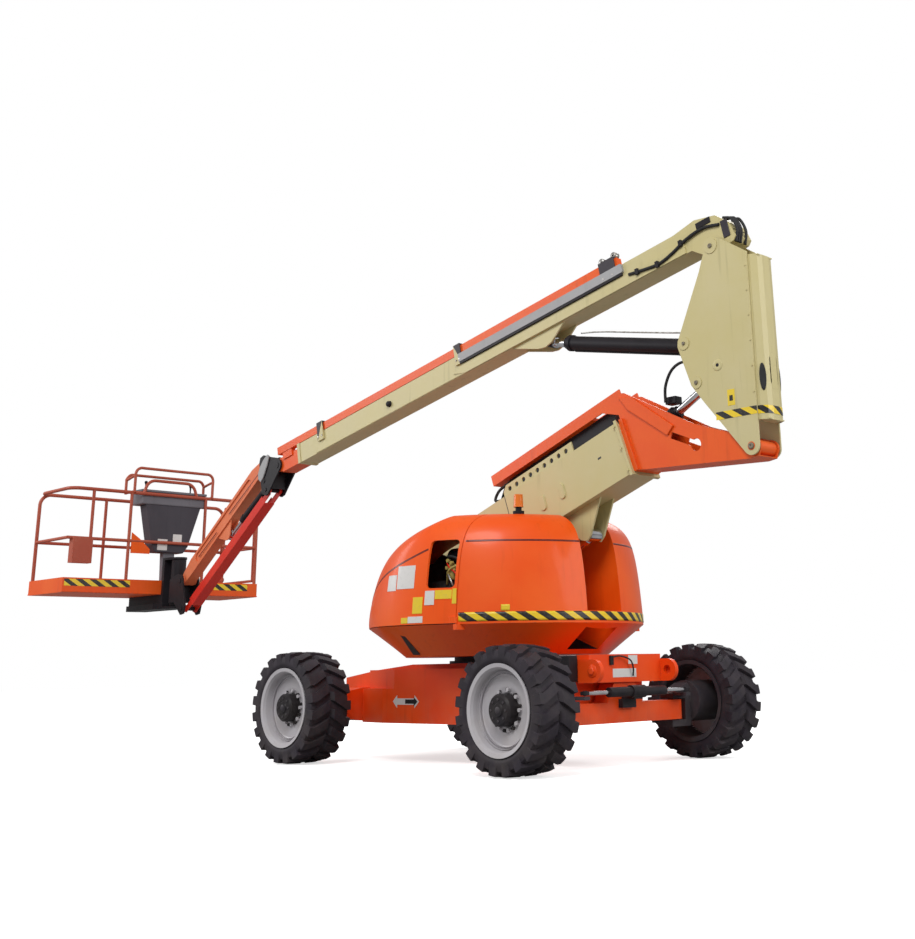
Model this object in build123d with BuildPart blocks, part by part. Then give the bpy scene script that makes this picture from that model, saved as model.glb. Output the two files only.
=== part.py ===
"""Articulating boom lift, modelled in the pose it stands in.

Frame: +X towards the steer axle and the tail, +Y left, +Z up. The origin is on the
ground under the slewing axis. All sizes are millimetres, all angles degrees.
"""
from build123d import *
from math import atan2, cos, degrees, hypot, radians, sin, sqrt
import os

os.makedirs("parts", exist_ok=True)

# ---------------------------------------------------------------- clearances
RUN_GAP = 0.3          # pins in bores, rods in glands, wear pads on fly booms
SIDE_GAP = 6.0         # beside pieces that swing or slide past each other
SEAT_GAP = 0.3         # curved skins that lie against another piece

# ---------------------------------------------------------------- running gear
WHEELBASE = 2480.0
OVERALL_WIDTH = 2440.0
TYRE_RADIUS = 425.0
TYRE_WIDTH = 370.0
LUG_HEIGHT = 26.0
LUG_COUNT = 20
RIM_RADIUS = 310.0
RIM_LIP = 14.0
DISC_INSET = 95.0
HUB_RADIUS = 105.0
WHEEL_Y = OVERALL_WIDTH / 2 - TYRE_WIDTH / 2
FRONT_X = WHEELBASE / 2
REAR_X = -WHEELBASE / 2

# ways to place a solid: standing on its location, or hanging under it
STANDING = (Align.CENTER, Align.CENTER, Align.MIN)
HANGING = (Align.CENTER, Align.CENTER, Align.MAX)

# ---------------------------------------------------------------- chassis
FRAME_BOTTOM = 290.0
FRAME_TOP = 735.0
FRAME_HALF = 560.0
SPINE_HALF = 400.0
LUG_X = FRONT_X + 160.0
LUG_Z = 660.0
LUG_RADIUS = 80.0
LUG_HOLE = 33.0
LUG_THICK = 36.0
REAR_LUG_X = REAR_X - 320.0
REAR_LUG_Y = 300.0
REAR_LUG_Z = 470.0
AXLE_HALF = 640.0
AXLE_BOTTOM = 300.0
AXLE_TOP = 440.0
KINGPIN_RADIUS = 34.0
STEER_ARM = 195.0
STEER_X = FRONT_X + STEER_ARM
STEER_Z = 515.0
STEER_EYE = AXLE_HALF - 80.0
STEER_STROKE = 118.0
SLEW_RADIUS = 400.0
SLEW_TOP = 784.7

# ---------------------------------------------------------------- turntable
DECK_Z = 785.0
RIDGE_Z = 1005.0
BAND_Z = 1090.0
HOOD_TOP_Z = 1815.0
TAIL_RADIUS = 1170.0
NOSE_CENTRE_X = 200.0
SEAM_X = 600.0
SLOT_HALF = 192.0
WEB_HALF = 187.0
WEB_THICK = 15.0
POCKET_HALF = 172.0
POCKET_Z = 820.0
HOOD_WALL = 14.0
HINGE_X = 605.0
HINGE_Y = 1015.0
HINGE_RADIUS = 9.0
HINGE_PIN = 4.5
HINGE_LEAF = 46.0

# ---------------------------------------------------------------- tower
TOWER_PIVOT = (-650.0, 1524.0)
TOWER_ANGLE = 19.4
TOWER_LENGTH = 2315.0
TOWER_HALF = 150.0
TOWER_LOW = -240.0
TOWER_HIGH = 180.0
TOWER_WALL = 8.0
FLY_GAP = 7.0
TOWER_STROKE = 1300.0
NOSE_HALF = 112.0
NOSE_PLATE = 12.0
TOWER_PIN = 38.0
TOWER_LIFT_BASE = (-300.0, 900.0)
TOWER_LIFT_U = 1650.0
TOWER_LIFT_V = -434.0
LEVEL_BASE = (1150.0, 2050.0)

# ---------------------------------------------------------------- upright
UPRIGHT_FOOT = (2672.0, 2125.0)
UPRIGHT_HEAD = (2434.0, 3638.0)
MAIN_LIFT_BASE = (2141.0, 2951.0)
LEVEL_TOP = (2236.0, 2642.0)
UPRIGHT_HALF = 136.0
UPRIGHT_PLATE = 14.0
PIN_RADIUS = 30.0

# ---------------------------------------------------------------- main boom
MAIN_ANGLE = 11.3
MAIN_LENGTH = 5250.0
MAIN_HALF = 100.0
MAIN_LOW = 56.0
MAIN_HIGH = 249.0
MAIN_WALL = 8.0
MAIN_STROKE = 3200.0
MAIN_LIFT_U = 1813.0
MAIN_LIFT_V = -19.0
RAIL_SIZE = 66.0
RAIL_V = 255.0
RAIL_Y = -66.0

# ---------------------------------------------------------------- jib and platform
HEAD_PIVOT = (-3100.0, 2690.0)
JIB_TOP = (-3360.0, 2760.0)
JIB_FOOT = (-4850.0, 1660.0)
LINK_OFFSET = (70.0, -295.0)
JIB_LIFT_BASE = (-3325.0, 2555.0)
JIB_LIFT_EYE = (-4044.0, 2068.5)
JIB_HALF = 62.0
JIB_DEPTH = 178.0
PLATFORM_X = -5220.0
PLATFORM_Y = -60.0
PLATFORM_Z = 1530.0
PLATFORM_LENGTH = 2360.0
PLATFORM_WIDTH = 780.0
TOE_HEIGHT = 150.0
RAIL_HEIGHT = 1100.0
TUBE_RADIUS = 19.0
ROTATOR_X = -5060.0

# ---------------------------------------------------------------- frames
SIDE = Plane.XZ
TOWER = Plane(
    origin=(TOWER_PIVOT[0], 0, TOWER_PIVOT[1]),
    x_dir=(cos(radians(TOWER_ANGLE)), 0, sin(radians(TOWER_ANGLE))),
    z_dir=(0, -1, 0),
)
MAIN = Plane(
    origin=(UPRIGHT_HEAD[0], 0, UPRIGHT_HEAD[1]),
    x_dir=(-cos(radians(MAIN_ANGLE)), 0, -sin(radians(MAIN_ANGLE))),
    z_dir=(0, 1, 0),
)


def along(start, end):
    """Plane through two side-view points: x runs from start to end, z towards -Y."""
    dx, dz = end[0] - start[0], end[1] - start[1]
    return Plane(origin=(start[0], 0, start[1]), x_dir=(dx, 0, dz), z_dir=(0, -1, 0))


def lengthwise(start, end):
    """Plane across the line between two side-view points, for bars and tubes along it."""
    dx, dz = end[0] - start[0], end[1] - start[1]
    return Plane(origin=(start[0], 0, start[1]), x_dir=(0, 1, 0), z_dir=(dx, 0, dz))


def span(start, end):
    return hypot(end[0] - start[0], end[1] - start[1])


def shifted(point, offset):
    return (point[0] + offset[0], point[1] + offset[1])


def in_plane(plane, u, v):
    """World side-view point of (u, v) in a boom's own plane."""
    p = plane.from_local_coords((u, v, 0))
    return (p.X, p.Z)


def local(plane, point):
    """(u, v) of a world side-view point in a boom's own plane."""
    p = plane.to_local_coords(Vector(point[0], 0, point[1]))
    return (p.X, p.Y)


def save(piece, name):
    piece.part.label = name
    export_step(piece.part, f"parts/{name}.step")


# ================================================================ wheels
# One master tyre and rim, turned about Y with the outer side towards -Y.
CARCASS = TYRE_RADIUS - LUG_HEIGHT
TYRE_HALF = TYRE_WIDTH / 2

with BuildPart() as tyre_master:
    with BuildSketch(Plane.XY) as carcass_profile:
        with BuildLine():
            Polyline(
                (RIM_RADIUS - 8, -TYRE_HALF + 16),
                (RIM_RADIUS + 22, -TYRE_HALF + 2),
                (CARCASS - 42, -TYRE_HALF + 6),
                (CARCASS - 8, -TYRE_HALF + 34),
                (CARCASS, 0),
                (CARCASS - 8, TYRE_HALF - 34),
                (CARCASS - 42, TYRE_HALF - 6),
                (RIM_RADIUS + 22, TYRE_HALF - 2),
                (RIM_RADIUS - 8, TYRE_HALF - 16),
                close=True,
            )
        make_face()
    revolve(axis=Axis.Y)
    for side, phase in ((-1, 0.0), (1, 0.5)):
        for index in range(LUG_COUNT):
            turn = (index + phase) * 360 / LUG_COUNT
            lug_plane = Plane(
                Location((0, 0, 0), (0, turn, 0)) * Location((CARCASS - 14, 0, 0), (0, 90, 0))
            )
            with BuildSketch(lug_plane):
                with BuildLine():
                    Polyline(
                        (-18, side * 4),
                        (26, side * 4),
                        (58, side * (TYRE_HALF - 34)),
                        (58, side * (TYRE_HALF - 1)),
                        (4, side * (TYRE_HALF - 1)),
                        (4, side * (TYRE_HALF - 40)),
                        close=True,
                    )
                make_face()
            extrude(amount=LUG_HEIGHT + 12, taper=6)

with BuildPart() as rim_master:
    with BuildSketch(Plane.XY) as rim_profile:
        with BuildLine():
            Polyline(
                (RIM_RADIUS - 8 - RUN_GAP, TYRE_HALF - 16),
                (RIM_RADIUS - 30, TYRE_HALF - 24),
                (RIM_RADIUS - 34, -TYRE_HALF + 60),
                (RIM_RADIUS - 26, -TYRE_HALF + 22),
                (RIM_RADIUS - 8 - RUN_GAP, -TYRE_HALF + 12),
                (RIM_RADIUS - 8 - RUN_GAP, -TYRE_HALF + 4),
                (RIM_RADIUS - 34, -TYRE_HALF + 10),
                (RIM_RADIUS - 44, -TYRE_HALF + 30),
                (RIM_RADIUS - 50, -TYRE_HALF + DISC_INSET - 26),
                (RIM_RADIUS - 62, -TYRE_HALF + DISC_INSET - 12),
                (RIM_RADIUS - 84, -TYRE_HALF + DISC_INSET),
                (HUB_RADIUS + 46, -TYRE_HALF + DISC_INSET),
                (HUB_RADIUS + 14, -TYRE_HALF + DISC_INSET + 6),
                (HUB_RADIUS, -TYRE_HALF + DISC_INSET + 6),
                (HUB_RADIUS, -TYRE_HALF + 26),
                (HUB_RADIUS - 14, -TYRE_HALF + 12),
                (46, -TYRE_HALF + 12),
                (40, -TYRE_HALF + 4),
                (0, -TYRE_HALF + 4),
                (0, -TYRE_HALF + DISC_INSET + 18),
                (RIM_RADIUS - 90, -TYRE_HALF + DISC_INSET + 12),
                (RIM_RADIUS - 48, -TYRE_HALF + DISC_INSET + 4),
                (RIM_RADIUS - 46, TYRE_HALF - 20),
                (RIM_RADIUS - 36, TYRE_HALF - 8),
                (RIM_RADIUS - 8 - RUN_GAP, TYRE_HALF - 6),
                close=True,
            )
        make_face()
    revolve(axis=Axis.Y)
    with BuildSketch(Plane.XZ.offset(TYRE_HALF - DISC_INSET - 2)) as nut_ring:
        with PolarLocations(HUB_RADIUS + 26, 9):
            RegularPolygon(14, 6)
    extrude(amount=22)

WHEELS = (
    # name, x, side
    ("front_right", FRONT_X, -1),
    ("front_left", FRONT_X, 1),
    ("rear_right", REAR_X, -1),
    ("rear_left", REAR_X, 1),
)
for wheel_name, wheel_x, wheel_side in WHEELS:
    turned = 0 if wheel_side < 0 else 180
    with BuildPart() as tyre:
        with Locations(Location((wheel_x, wheel_side * WHEEL_Y, TYRE_RADIUS), (0, 0, turned))):
            add(tyre_master.part)
    save(tyre, f"tyre_{wheel_name}")
    with BuildPart() as rim:
        with Locations(Location((wheel_x, wheel_side * WHEEL_Y, TYRE_RADIUS), (0, 0, turned))):
            add(rim_master.part)
    save(rim, f"rim_{wheel_name}")

# The gearbox that carries each wheel stops short of the back of its disc.
DISC_BACK = OVERALL_WIDTH / 2 - DISC_INSET - 18

# ================================================================ chassis
REAR_END = REAR_X - 240
BOSS_X = FRONT_X - 150
BOSS_LENGTH = 228.0
BOSS_Z = 505.0
BOSS_RADIUS = 62.0
FLARE_X = FRONT_X - 680
NECK_X = FRONT_X - 480
with BuildPart() as chassis_frame:
    # spine, seen from the side
    with BuildSketch(SIDE) as spine_profile:
        with BuildLine():
            Polyline(
                (REAR_END, 330), (REAR_END + 40, 300), (REAR_X + 190, FRAME_BOTTOM),
                (BOSS_X, FRAME_BOTTOM), (FRONT_X - 90, 380), (FRONT_X - 90, 606),
                (FRONT_X + 100, 606), (FRONT_X + 100, 775), (FRONT_X, 775),
                (FRONT_X - 340, FRAME_TOP), (-600, FRAME_TOP), (REAR_X + 180, 696), (REAR_END, 640),
                close=True,
            )
        make_face()
    extrude(amount=SPINE_HALF, both=True)
    # side boxes between the wheels, lower box proud of the flared upper one
    with BuildSketch(Plane.XY.offset(FRAME_BOTTOM)) as lower_box:
        with BuildLine():
            Polyline(
                (REAR_X + 450, -FRAME_HALF), (FLARE_X, -FRAME_HALF), (NECK_X, -SPINE_HALF),
                (NECK_X, SPINE_HALF), (FLARE_X, FRAME_HALF), (REAR_X + 450, FRAME_HALF),
                (REAR_X + 120, 500), (REAR_X + 120, -500), close=True,
            )
        make_face()
    extrude(amount=262)
    with BuildSketch(Plane.XY.offset(FRAME_BOTTOM + 262)) as upper_box:
        with BuildLine():
            Polyline(
                (REAR_X + 600, -FRAME_HALF), (FLARE_X, -FRAME_HALF), (NECK_X, -SPINE_HALF),
                (NECK_X, SPINE_HALF), (FLARE_X, FRAME_HALF), (REAR_X + 600, FRAME_HALF),
                (REAR_X + 120, 430), (REAR_X + 120, -430), close=True,
            )
        make_face()
    extrude(amount=145)
    # rear axle beam and its two final drives
    with BuildSketch(Plane.YZ.offset(REAR_X - 90)) as rear_beam:
        with BuildLine():
            Polyline(
                (-790, 340), (-480, 300), (480, 300), (790, 340),
                (790, 510), (480, 560), (-480, 560), (-790, 510), close=True,
            )
        make_face()
    extrude(amount=180)
    for side, outward in ((-1, STANDING), (1, HANGING)):
        with Locations(Location((REAR_X, side * 780, TYRE_RADIUS), (90, 0, 0))):
            Cylinder(150, DISC_BACK - 780 - RUN_GAP, align=outward)
    # lifting and tie-down lugs at the steer end
    with BuildSketch(SIDE) as lug_profile:
        with Locations((LUG_X, LUG_Z)):
            Circle(LUG_RADIUS)
        with Locations((LUG_X - 80, LUG_Z)):
            Rectangle(160, 2 * LUG_RADIUS)
    extrude(amount=SPINE_HALF + LUG_THICK, both=True)
    with BuildSketch(SIDE) as lug_gap:
        with Locations((LUG_X + 45, LUG_Z)):
            Rectangle(210, 4 * LUG_RADIUS)
    extrude(amount=SPINE_HALF, both=True, mode=Mode.SUBTRACT)
    with BuildSketch(SIDE) as lug_bore:
        with Locations((LUG_X, LUG_Z)):
            Circle(LUG_HOLE)
    extrude(amount=SPINE_HALF + 2 * LUG_THICK, both=True, mode=Mode.SUBTRACT)
    # tie-down lugs behind the rear axle, with upright bores
    for side in (-1, 1):
        with BuildSketch(Plane.XY.offset(REAR_LUG_Z)) as rear_lug:
            with Locations(((REAR_LUG_X + REAR_END) / 2 + 10, side * REAR_LUG_Y)):
                Rectangle(REAR_END - REAR_LUG_X + 20, 1.8 * LUG_RADIUS)
            with Locations((REAR_LUG_X, side * REAR_LUG_Y)):
                Circle(0.9 * LUG_RADIUS)
                Circle(LUG_HOLE, mode=Mode.SUBTRACT)
        extrude(amount=LUG_THICK)
    # through hole in the side box, beside the slew ring
    with BuildSketch(SIDE) as side_hole:
        with Locations((270, 640)):
            Circle(42)
    extrude(amount=FRAME_HALF + 10, both=True, mode=Mode.SUBTRACT)
    # pivot boss that carries the steer axle
    with Locations(Location((BOSS_X, 0, BOSS_Z), (0, 90, 0))):
        Cylinder(BOSS_RADIUS, BOSS_LENGTH, align=(Align.CENTER, Align.CENTER, Align.MIN))
save(chassis_frame, "chassis_frame")

with BuildPart() as slew_ring:
    with Locations((0, 0, FRAME_TOP)):
        Cylinder(SLEW_RADIUS, 20, align=(Align.CENTER, Align.CENTER, Align.MIN))
    with Locations((0, 0, FRAME_TOP + 20)):
        Cylinder(SLEW_RADIUS - 40, SLEW_TOP - FRAME_TOP - 20, align=(Align.CENTER, Align.CENTER, Align.MIN))
save(slew_ring, "slew_ring")

with BuildPart() as front_axle:
    with BuildSketch(Plane.YZ.offset(FRONT_X - 60)) as axle_profile:
        with BuildLine():
            Polyline(
                (-AXLE_HALF, AXLE_BOTTOM), (AXLE_HALF, AXLE_BOTTOM), (AXLE_HALF, AXLE_TOP),
                (190, AXLE_TOP), (120, 572), (-120, 572), (-190, AXLE_TOP), (-AXLE_HALF, AXLE_TOP),
                close=True,
            )
        make_face()
        with Locations((0, BOSS_Z)):
            Circle(BOSS_RADIUS + RUN_GAP, mode=Mode.SUBTRACT)
    extrude(amount=140)
    for side in (-1, 1):
        with Locations((FRONT_X, side * AXLE_HALF, AXLE_BOTTOM)):
            Cylinder(70, AXLE_TOP - AXLE_BOTTOM, align=(Align.CENTER, Align.CENTER, Align.MIN))
            Cylinder(KINGPIN_RADIUS + RUN_GAP, AXLE_TOP, mode=Mode.SUBTRACT)
save(front_axle, "front_axle")

with BuildPart() as steering_cylinder:
    with Locations(Location((STEER_X, 0, STEER_Z), (90, 0, 0))):
        Cylinder(34, 2 * (STEER_EYE - STEER_STROKE) - 264)
        Cylinder(44, 150)
        Cylinder(15 + RUN_GAP, 700, mode=Mode.SUBTRACT)
    with BuildSketch(Plane.XY.offset(STEER_Z - 52)) as saddle:
        with Locations((STEER_X - 48, 0)):
            Rectangle(96 - 2 * RUN_GAP + 30, 90)
    extrude(amount=16)
    with BuildSketch(Plane.XY.offset(STEER_Z - 52)) as saddle_foot:
        with Locations((FRONT_X + 80 + RUN_GAP + 20, 0)):
            Rectangle(40, 150)
    extrude(amount=-60)
save(steering_cylinder, "steering_cylinder")

with BuildPart() as steering_rod:
    with Locations(Location((STEER_X, 0, STEER_Z), (90, 0, 0))):
        Cylinder(15, 2 * STEER_EYE - 50)
    for side in (-1, 1):
        with Locations((STEER_X, side * STEER_EYE, STEER_Z)):
            Cylinder(32, 26)
            Cylinder(12, 34)
save(steering_rod, "steering_rod")

for side_name, side in (("right", -1), ("left", 1)):
    with BuildPart() as knuckle:
        # C-shaped casting round the axle's end, seen from the front
        with BuildSketch(Plane.YZ.offset(FRONT_X - 62)) as knuckle_profile:
            with BuildLine():
                Polyline(
                    (side * 560, 246), (side * 780, 246), (side * 800, 300), (side * 800, 520),
                    (side * 760, 560), (side * 580, 484), (side * 580, AXLE_TOP + SIDE_GAP),
                    (side * 722, AXLE_TOP + SIDE_GAP), (side * 722, AXLE_BOTTOM - SIDE_GAP),
                    (side * 560, AXLE_BOTTOM - SIDE_GAP), close=True,
                )
            make_face()
        extrude(amount=124)
        # kingpin
        with Locations((FRONT_X, side * AXLE_HALF, AXLE_BOTTOM - 40)):
            Cylinder(KINGPIN_RADIUS, AXLE_TOP - AXLE_BOTTOM + 80, align=STANDING)
        # drive gearbox inside the rim
        with Locations(Location((FRONT_X, side * 790, TYRE_RADIUS), (90, 0, 0))):
            Cylinder(150, DISC_BACK - 790 - RUN_GAP, align=STANDING if side < 0 else HANGING)
        # steering arm reaching forward under the cylinder's eye
        with BuildSketch(Plane.XY.offset(STEER_Z - 15 - SIDE_GAP - 24)) as arm_profile:
            with BuildLine():
                Polyline(
                    (FRONT_X - 40, side * 740), (FRONT_X + 62, side * 720),
                    (STEER_X + 26, side * (STEER_EYE + 30)), (STEER_X + 26, side * (STEER_EYE - 25)),
                    (STEER_X - 26, side * (STEER_EYE - 25)), (FRONT_X + 30, side * 600),
                    (FRONT_X - 40, side * 620), close=True,
                )
            make_face()
        extrude(amount=24)
    save(knuckle, f"knuckle_{side_name}")

# ================================================================ turntable
HOOD_SECTIONS = (
    # z, tail radius, half width, nose end x
    (DECK_Z, 885, 860, -700),
    (RIDGE_Z, 1170, 1165, -917),
    (1110, 1166, 1162, -905),
    (1360, 1146, 1140, -800),
    (1560, 1116, 1100, -620),
    (1690, 1070, 1030, -330),
    (1770, 1000, 930, 0),
    (HOOD_TOP_Z, 905, 820, 230),
)


def plan_points(tail, half, nose, inset=0.0):
    """Outline of the turntable from above: a round tail and an elliptic nose."""
    tail, half, nose = tail - inset, half - inset, nose + inset
    join = sqrt(max(tail * tail - half * half, 0.0))
    points = []
    steps = 9
    tail_angle = atan2(half, join)
    for index in range(steps):
        angle = -tail_angle + 2 * tail_angle * index / (steps - 1)
        points.append((tail * cos(angle), tail * sin(angle)))
    for index in range(1, steps):
        angle = radians(90 + 180 * index / steps)
        points.append((join + (join - nose) * cos(angle), half * sin(angle)))
    return points


with BuildPart() as hood_master:
    for z, tail, half, nose in HOOD_SECTIONS[1:]:
        with BuildSketch(Plane.XY.offset(z)):
            with BuildLine():
                Spline(plan_points(tail, half, nose), periodic=True)
            make_face()
    loft()

with BuildPart() as hood_core:
    for z, tail, half, nose in HOOD_SECTIONS[1:]:
        lowered = z if z == RIDGE_Z else z - HOOD_WALL
        with BuildSketch(Plane.XY.offset(lowered)):
            with BuildLine():
                Spline(plan_points(tail, half, nose, HOOD_WALL), periodic=True)
            make_face()
    loft()

with BuildPart() as turntable_frame:
    # tapered tub below the ridge
    for z, tail, half, nose in HOOD_SECTIONS[:2]:
        with BuildSketch(Plane.XY.offset(z)):
            with BuildLine():
                Spline(plan_points(tail, half, nose), periodic=True)
            make_face()
    loft()
    # open pocket for the tower and its lift cylinder
    with BuildSketch(Plane.XY.offset(POCKET_Z)) as pocket:
        with Locations((80, 0)):
            Rectangle(2070, 2 * POCKET_HALF)
    extrude(amount=400, mode=Mode.SUBTRACT)
    # two webs that carry the tower's pivot
    with BuildSketch(SIDE) as web_profile:
        with BuildLine():
            Polyline(
                (-800, 900), (420, 900), (420, 1130), (-420, 1590), (-560, 1640),
                (-740, 1640), (-800, 1560), close=True,
            )
        make_face()
        with Locations(TOWER_PIVOT):
            Circle(TOWER_PIN + RUN_GAP, mode=Mode.SUBTRACT)
    extrude(amount=WEB_HALF, both=True)
    with BuildSketch(SIDE) as web_gap:
        with BuildLine():
            Polyline(
                (-1000, POCKET_Z), (1115, POCKET_Z), (1115, 1200), (430, 1200), (430, 1800),
                (-1000, 1800), close=True,
            )
        make_face()
    extrude(amount=POCKET_HALF, both=True, mode=Mode.SUBTRACT)
    # foot of the tower lift cylinder
    with BuildSketch(SIDE) as lift_foot:
        with BuildLine():
            Polyline(
                (-400, POCKET_Z - 5), (-200, POCKET_Z - 5), (-250, 930), (-300, 955), (-350, 930),
                close=True,
            )
        make_face()
    extrude(amount=96, both=True)
    with BuildSketch(SIDE) as lift_foot_gap:
        with Locations((TOWER_LIFT_BASE[0], POCKET_Z + 200)):
            Rectangle(500, 400)
    extrude(amount=68, both=True, mode=Mode.SUBTRACT)
    with Locations(Location((TOWER_LIFT_BASE[0], 0, TOWER_LIFT_BASE[1]), (90, 0, 0))):
        Cylinder(PIN_RADIUS, 192)
    # hinge pins of the hoods, outside the ridge
    for side in (-1, 1):
        with BuildSketch(Plane.XY.offset(RIDGE_Z - 40)) as hinge_bracket:
            with Locations((HINGE_X, side * (HINGE_Y - 32))):
                Rectangle(34, 86)
        extrude(amount=40)
        with Locations((HINGE_X, side * HINGE_Y, RIDGE_Z - 2)):
            Cylinder(HINGE_PIN, HINGE_LEAF + 4, align=(Align.CENTER, Align.CENTER, Align.MIN))
save(turntable_frame, "turntable_frame")

with BuildPart() as counterweight:
    add(hood_master.part)
    with Locations((SEAM_X, 0, 1400)):
        Box(3000, 4000, 2000, align=(Align.MAX, Align.CENTER, Align.CENTER), mode=Mode.SUBTRACT)
    # slot the tower lies in, closed by the band at its foot
    with BuildSketch(Plane.XY.offset(RIDGE_Z - 50)) as tail_slot:
        with Locations((SEAM_X + 255, 0)):
            Rectangle(515, 2 * SLOT_HALF)
    extrude(amount=1200, mode=Mode.SUBTRACT)
    with BuildSketch(Plane.XY.offset(BAND_Z)) as tail_slot_high:
        with Locations((SEAM_X + 500, 0)):
            Rectangle(1200, 2 * SLOT_HALF)
    extrude(amount=1200, mode=Mode.SUBTRACT)
    # service recess in front of the weight
    with BuildSketch(Plane.XY.offset(RIDGE_Z + 60)) as recess:
        with Locations((SEAM_X, 520), (SEAM_X, -520)):
            Rectangle(200, 380)
    extrude(amount=520, mode=Mode.SUBTRACT)
save(counterweight, "counterweight")

for side_name, side in (("right", -1), ("left", 1)):
    with BuildPart() as hinge_leaf:
        with BuildSketch(Plane.XY.offset(RIDGE_Z + SIDE_GAP)) as leaf_plan:
            with BuildLine():
                Polyline(
                    (HINGE_X - 65, side * 1000), (HINGE_X - 17, side * 992), (HINGE_X - 11, side * 1007),
                    (HINGE_X, side * (HINGE_Y - 6)), (HINGE_X, side * (HINGE_Y + 6)),
                    (HINGE_X - 45, side * 1034), (HINGE_X - 65, side * 1030), close=True,
                )
            make_face()
            with Locations((HINGE_X, side * HINGE_Y)):
                Circle(HINGE_RADIUS)
                Circle(HINGE_PIN + RUN_GAP, mode=Mode.SUBTRACT)
        extrude(amount=HINGE_LEAF)
    with BuildPart() as hood:
        add(hood_master.part)
        add(hood_core.part, mode=Mode.SUBTRACT)
        with Locations((SEAM_X - SIDE_GAP, 0, 1400)):
            Box(3000, 4000, 2000, align=(Align.MIN, Align.CENTER, Align.CENTER), mode=Mode.SUBTRACT)
        with Locations((0, -side * 2000 + side * SLOT_HALF, 1400)):
            Box(4000, 4000, 2000, mode=Mode.SUBTRACT)
        with Locations((0, 0, RIDGE_Z)):
            Box(4000, 4000, 2 * SIDE_GAP, mode=Mode.SUBTRACT)
        # service window
        with BuildSketch(SIDE) as window:
            with Locations((470, 1440)):
                RectangleRounded(210, 350, 30)
        extrude(amount=side * -1400, mode=Mode.SUBTRACT)
        # moving half of its hinge
        add(hinge_leaf.part)
    save(hood, f"hood_{side_name}")

with BuildPart() as engine_block:
    with BuildSketch(Plane.XY.offset(RIDGE_Z + RUN_GAP)) as engine_plan:
        with Locations((40, -560)):
            RectangleRounded(760, 560, 60)
    extrude(amount=330)
    with BuildSketch(Plane.XY.offset(RIDGE_Z + 330)) as head_plan:
        with Locations((110, -540)):
            RectangleRounded(560, 300, 40)
    extrude(amount=150)
    with Locations(Location((330, -540, 1250), (0, 90, 0))):
        Cylinder(150, 120)
save(engine_block, "engine_block")

with BuildPart() as tank_block:
    with BuildSketch(Plane.XY.offset(RIDGE_Z + RUN_GAP)) as tank_plan:
        with Locations((60, 560)):
            RectangleRounded(820, 540, 70)
    extrude(amount=400)
    with Locations((250, 560, RIDGE_Z + 400)):
        Cylinder(60, 50, align=(Align.CENTER, Align.CENTER, Align.MIN))
save(tank_block, "tank_block")

with BuildPart() as beacon:
    with Locations((720, -470, HOOD_TOP_Z + SEAT_GAP)):
        Cylinder(44, 26, align=(Align.CENTER, Align.CENTER, Align.MIN))
    with Locations((720, -470, HOOD_TOP_Z + SEAT_GAP + 26)):
        Cylinder(24, 30, align=(Align.CENTER, Align.CENTER, Align.MIN))
    with Locations((720, -470, HOOD_TOP_Z + SEAT_GAP + 56)):
        Cone(38, 34, 96, align=(Align.CENTER, Align.CENTER, Align.MIN))
save(beacon, "beacon")

# ================================================================ cylinders
CYLINDERS = (
    # name, foot, eye, foot reach, barrel length, barrel r, rod r, rod length, half width
    ("tower_lift", TOWER_LIFT_BASE, in_plane(TOWER, TOWER_LIFT_U, TOWER_LIFT_V), 72, 1180, 62, 36, 1230, 60),
    ("level", LEVEL_BASE, LEVEL_TOP, 66, 900, 54, 32, 930, 60),
    ("main_lift", MAIN_LIFT_BASE, in_plane(MAIN, MAIN_LIFT_U, MAIN_LIFT_V), 72, 1300, 58, 36, 1370, 60),
    ("jib", JIB_LIFT_BASE, JIB_LIFT_EYE, 50, 600, 38, 20, 700, 30),
)
for cyl_name, foot, eye, foot_reach, barrel_length, barrel_r, rod_r, rod_length, half in CYLINDERS:
    reach = span(foot, eye)
    line = lengthwise(foot, eye)
    eye_r = barrel_r * 0.84 if cyl_name != "main_lift" else 40.0
    bore_r = 22.0 if cyl_name == "jib" else PIN_RADIUS
    with BuildPart() as barrel:
        with BuildSketch(line.offset(foot_reach)) as barrel_round:
            Circle(barrel_r)
        extrude(amount=barrel_length - foot_reach)
        with BuildSketch(line.offset(barrel_length - 46)) as gland_round:
            Circle(barrel_r + (9 if barrel_r > 50 else 4))
        extrude(amount=34)
        with BuildSketch(line.offset(barrel_length)) as gland_nose:
            Circle(rod_r + 14)
        extrude(amount=22)
        with BuildSketch(line) as foot_neck:
            Rectangle(2 * half * 0.8, 1.3 * barrel_r)
        extrude(amount=foot_reach + 4)
        with Locations(Location((foot[0], 0, foot[1]), (90, 0, 0))):
            Cylinder(bore_r * 1.6, 2 * half)
            Cylinder(bore_r + RUN_GAP, 2 * half + 10, mode=Mode.SUBTRACT)
        with BuildSketch(line.offset(foot_reach + 14)) as bore_round:
            Circle(rod_r + RUN_GAP)
        extrude(amount=barrel_length, mode=Mode.SUBTRACT)
        # oil port and hard line along the barrel
        with BuildSketch(line.offset(foot_reach + 40)) as port_round:
            with Locations((0, barrel_r + 6)):
                Circle(7)
        extrude(amount=barrel_length - foot_reach - 120)
        with BuildSketch(line.offset(foot_reach + 34)) as port_block:
            with Locations((0, barrel_r + 3)):
                Rectangle(26, 26)
        extrude(amount=26)
    save(barrel, f"{cyl_name}_barrel")
    with BuildPart() as rod:
        with BuildSketch(line.offset(reach - rod_length)) as rod_round:
            Circle(rod_r)
        extrude(amount=rod_length)
        with BuildSketch(line.offset(reach - eye_r - 34)) as rod_collar:
            Circle(rod_r + 8)
        extrude(amount=30)
        with Locations(Location((eye[0], 0, eye[1]), (90, 0, 0))):
            Cylinder(eye_r, 2 * half)
            Cylinder(bore_r * 0.66, 2 * half + 4)
    save(rod, f"{cyl_name}_rod")

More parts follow.
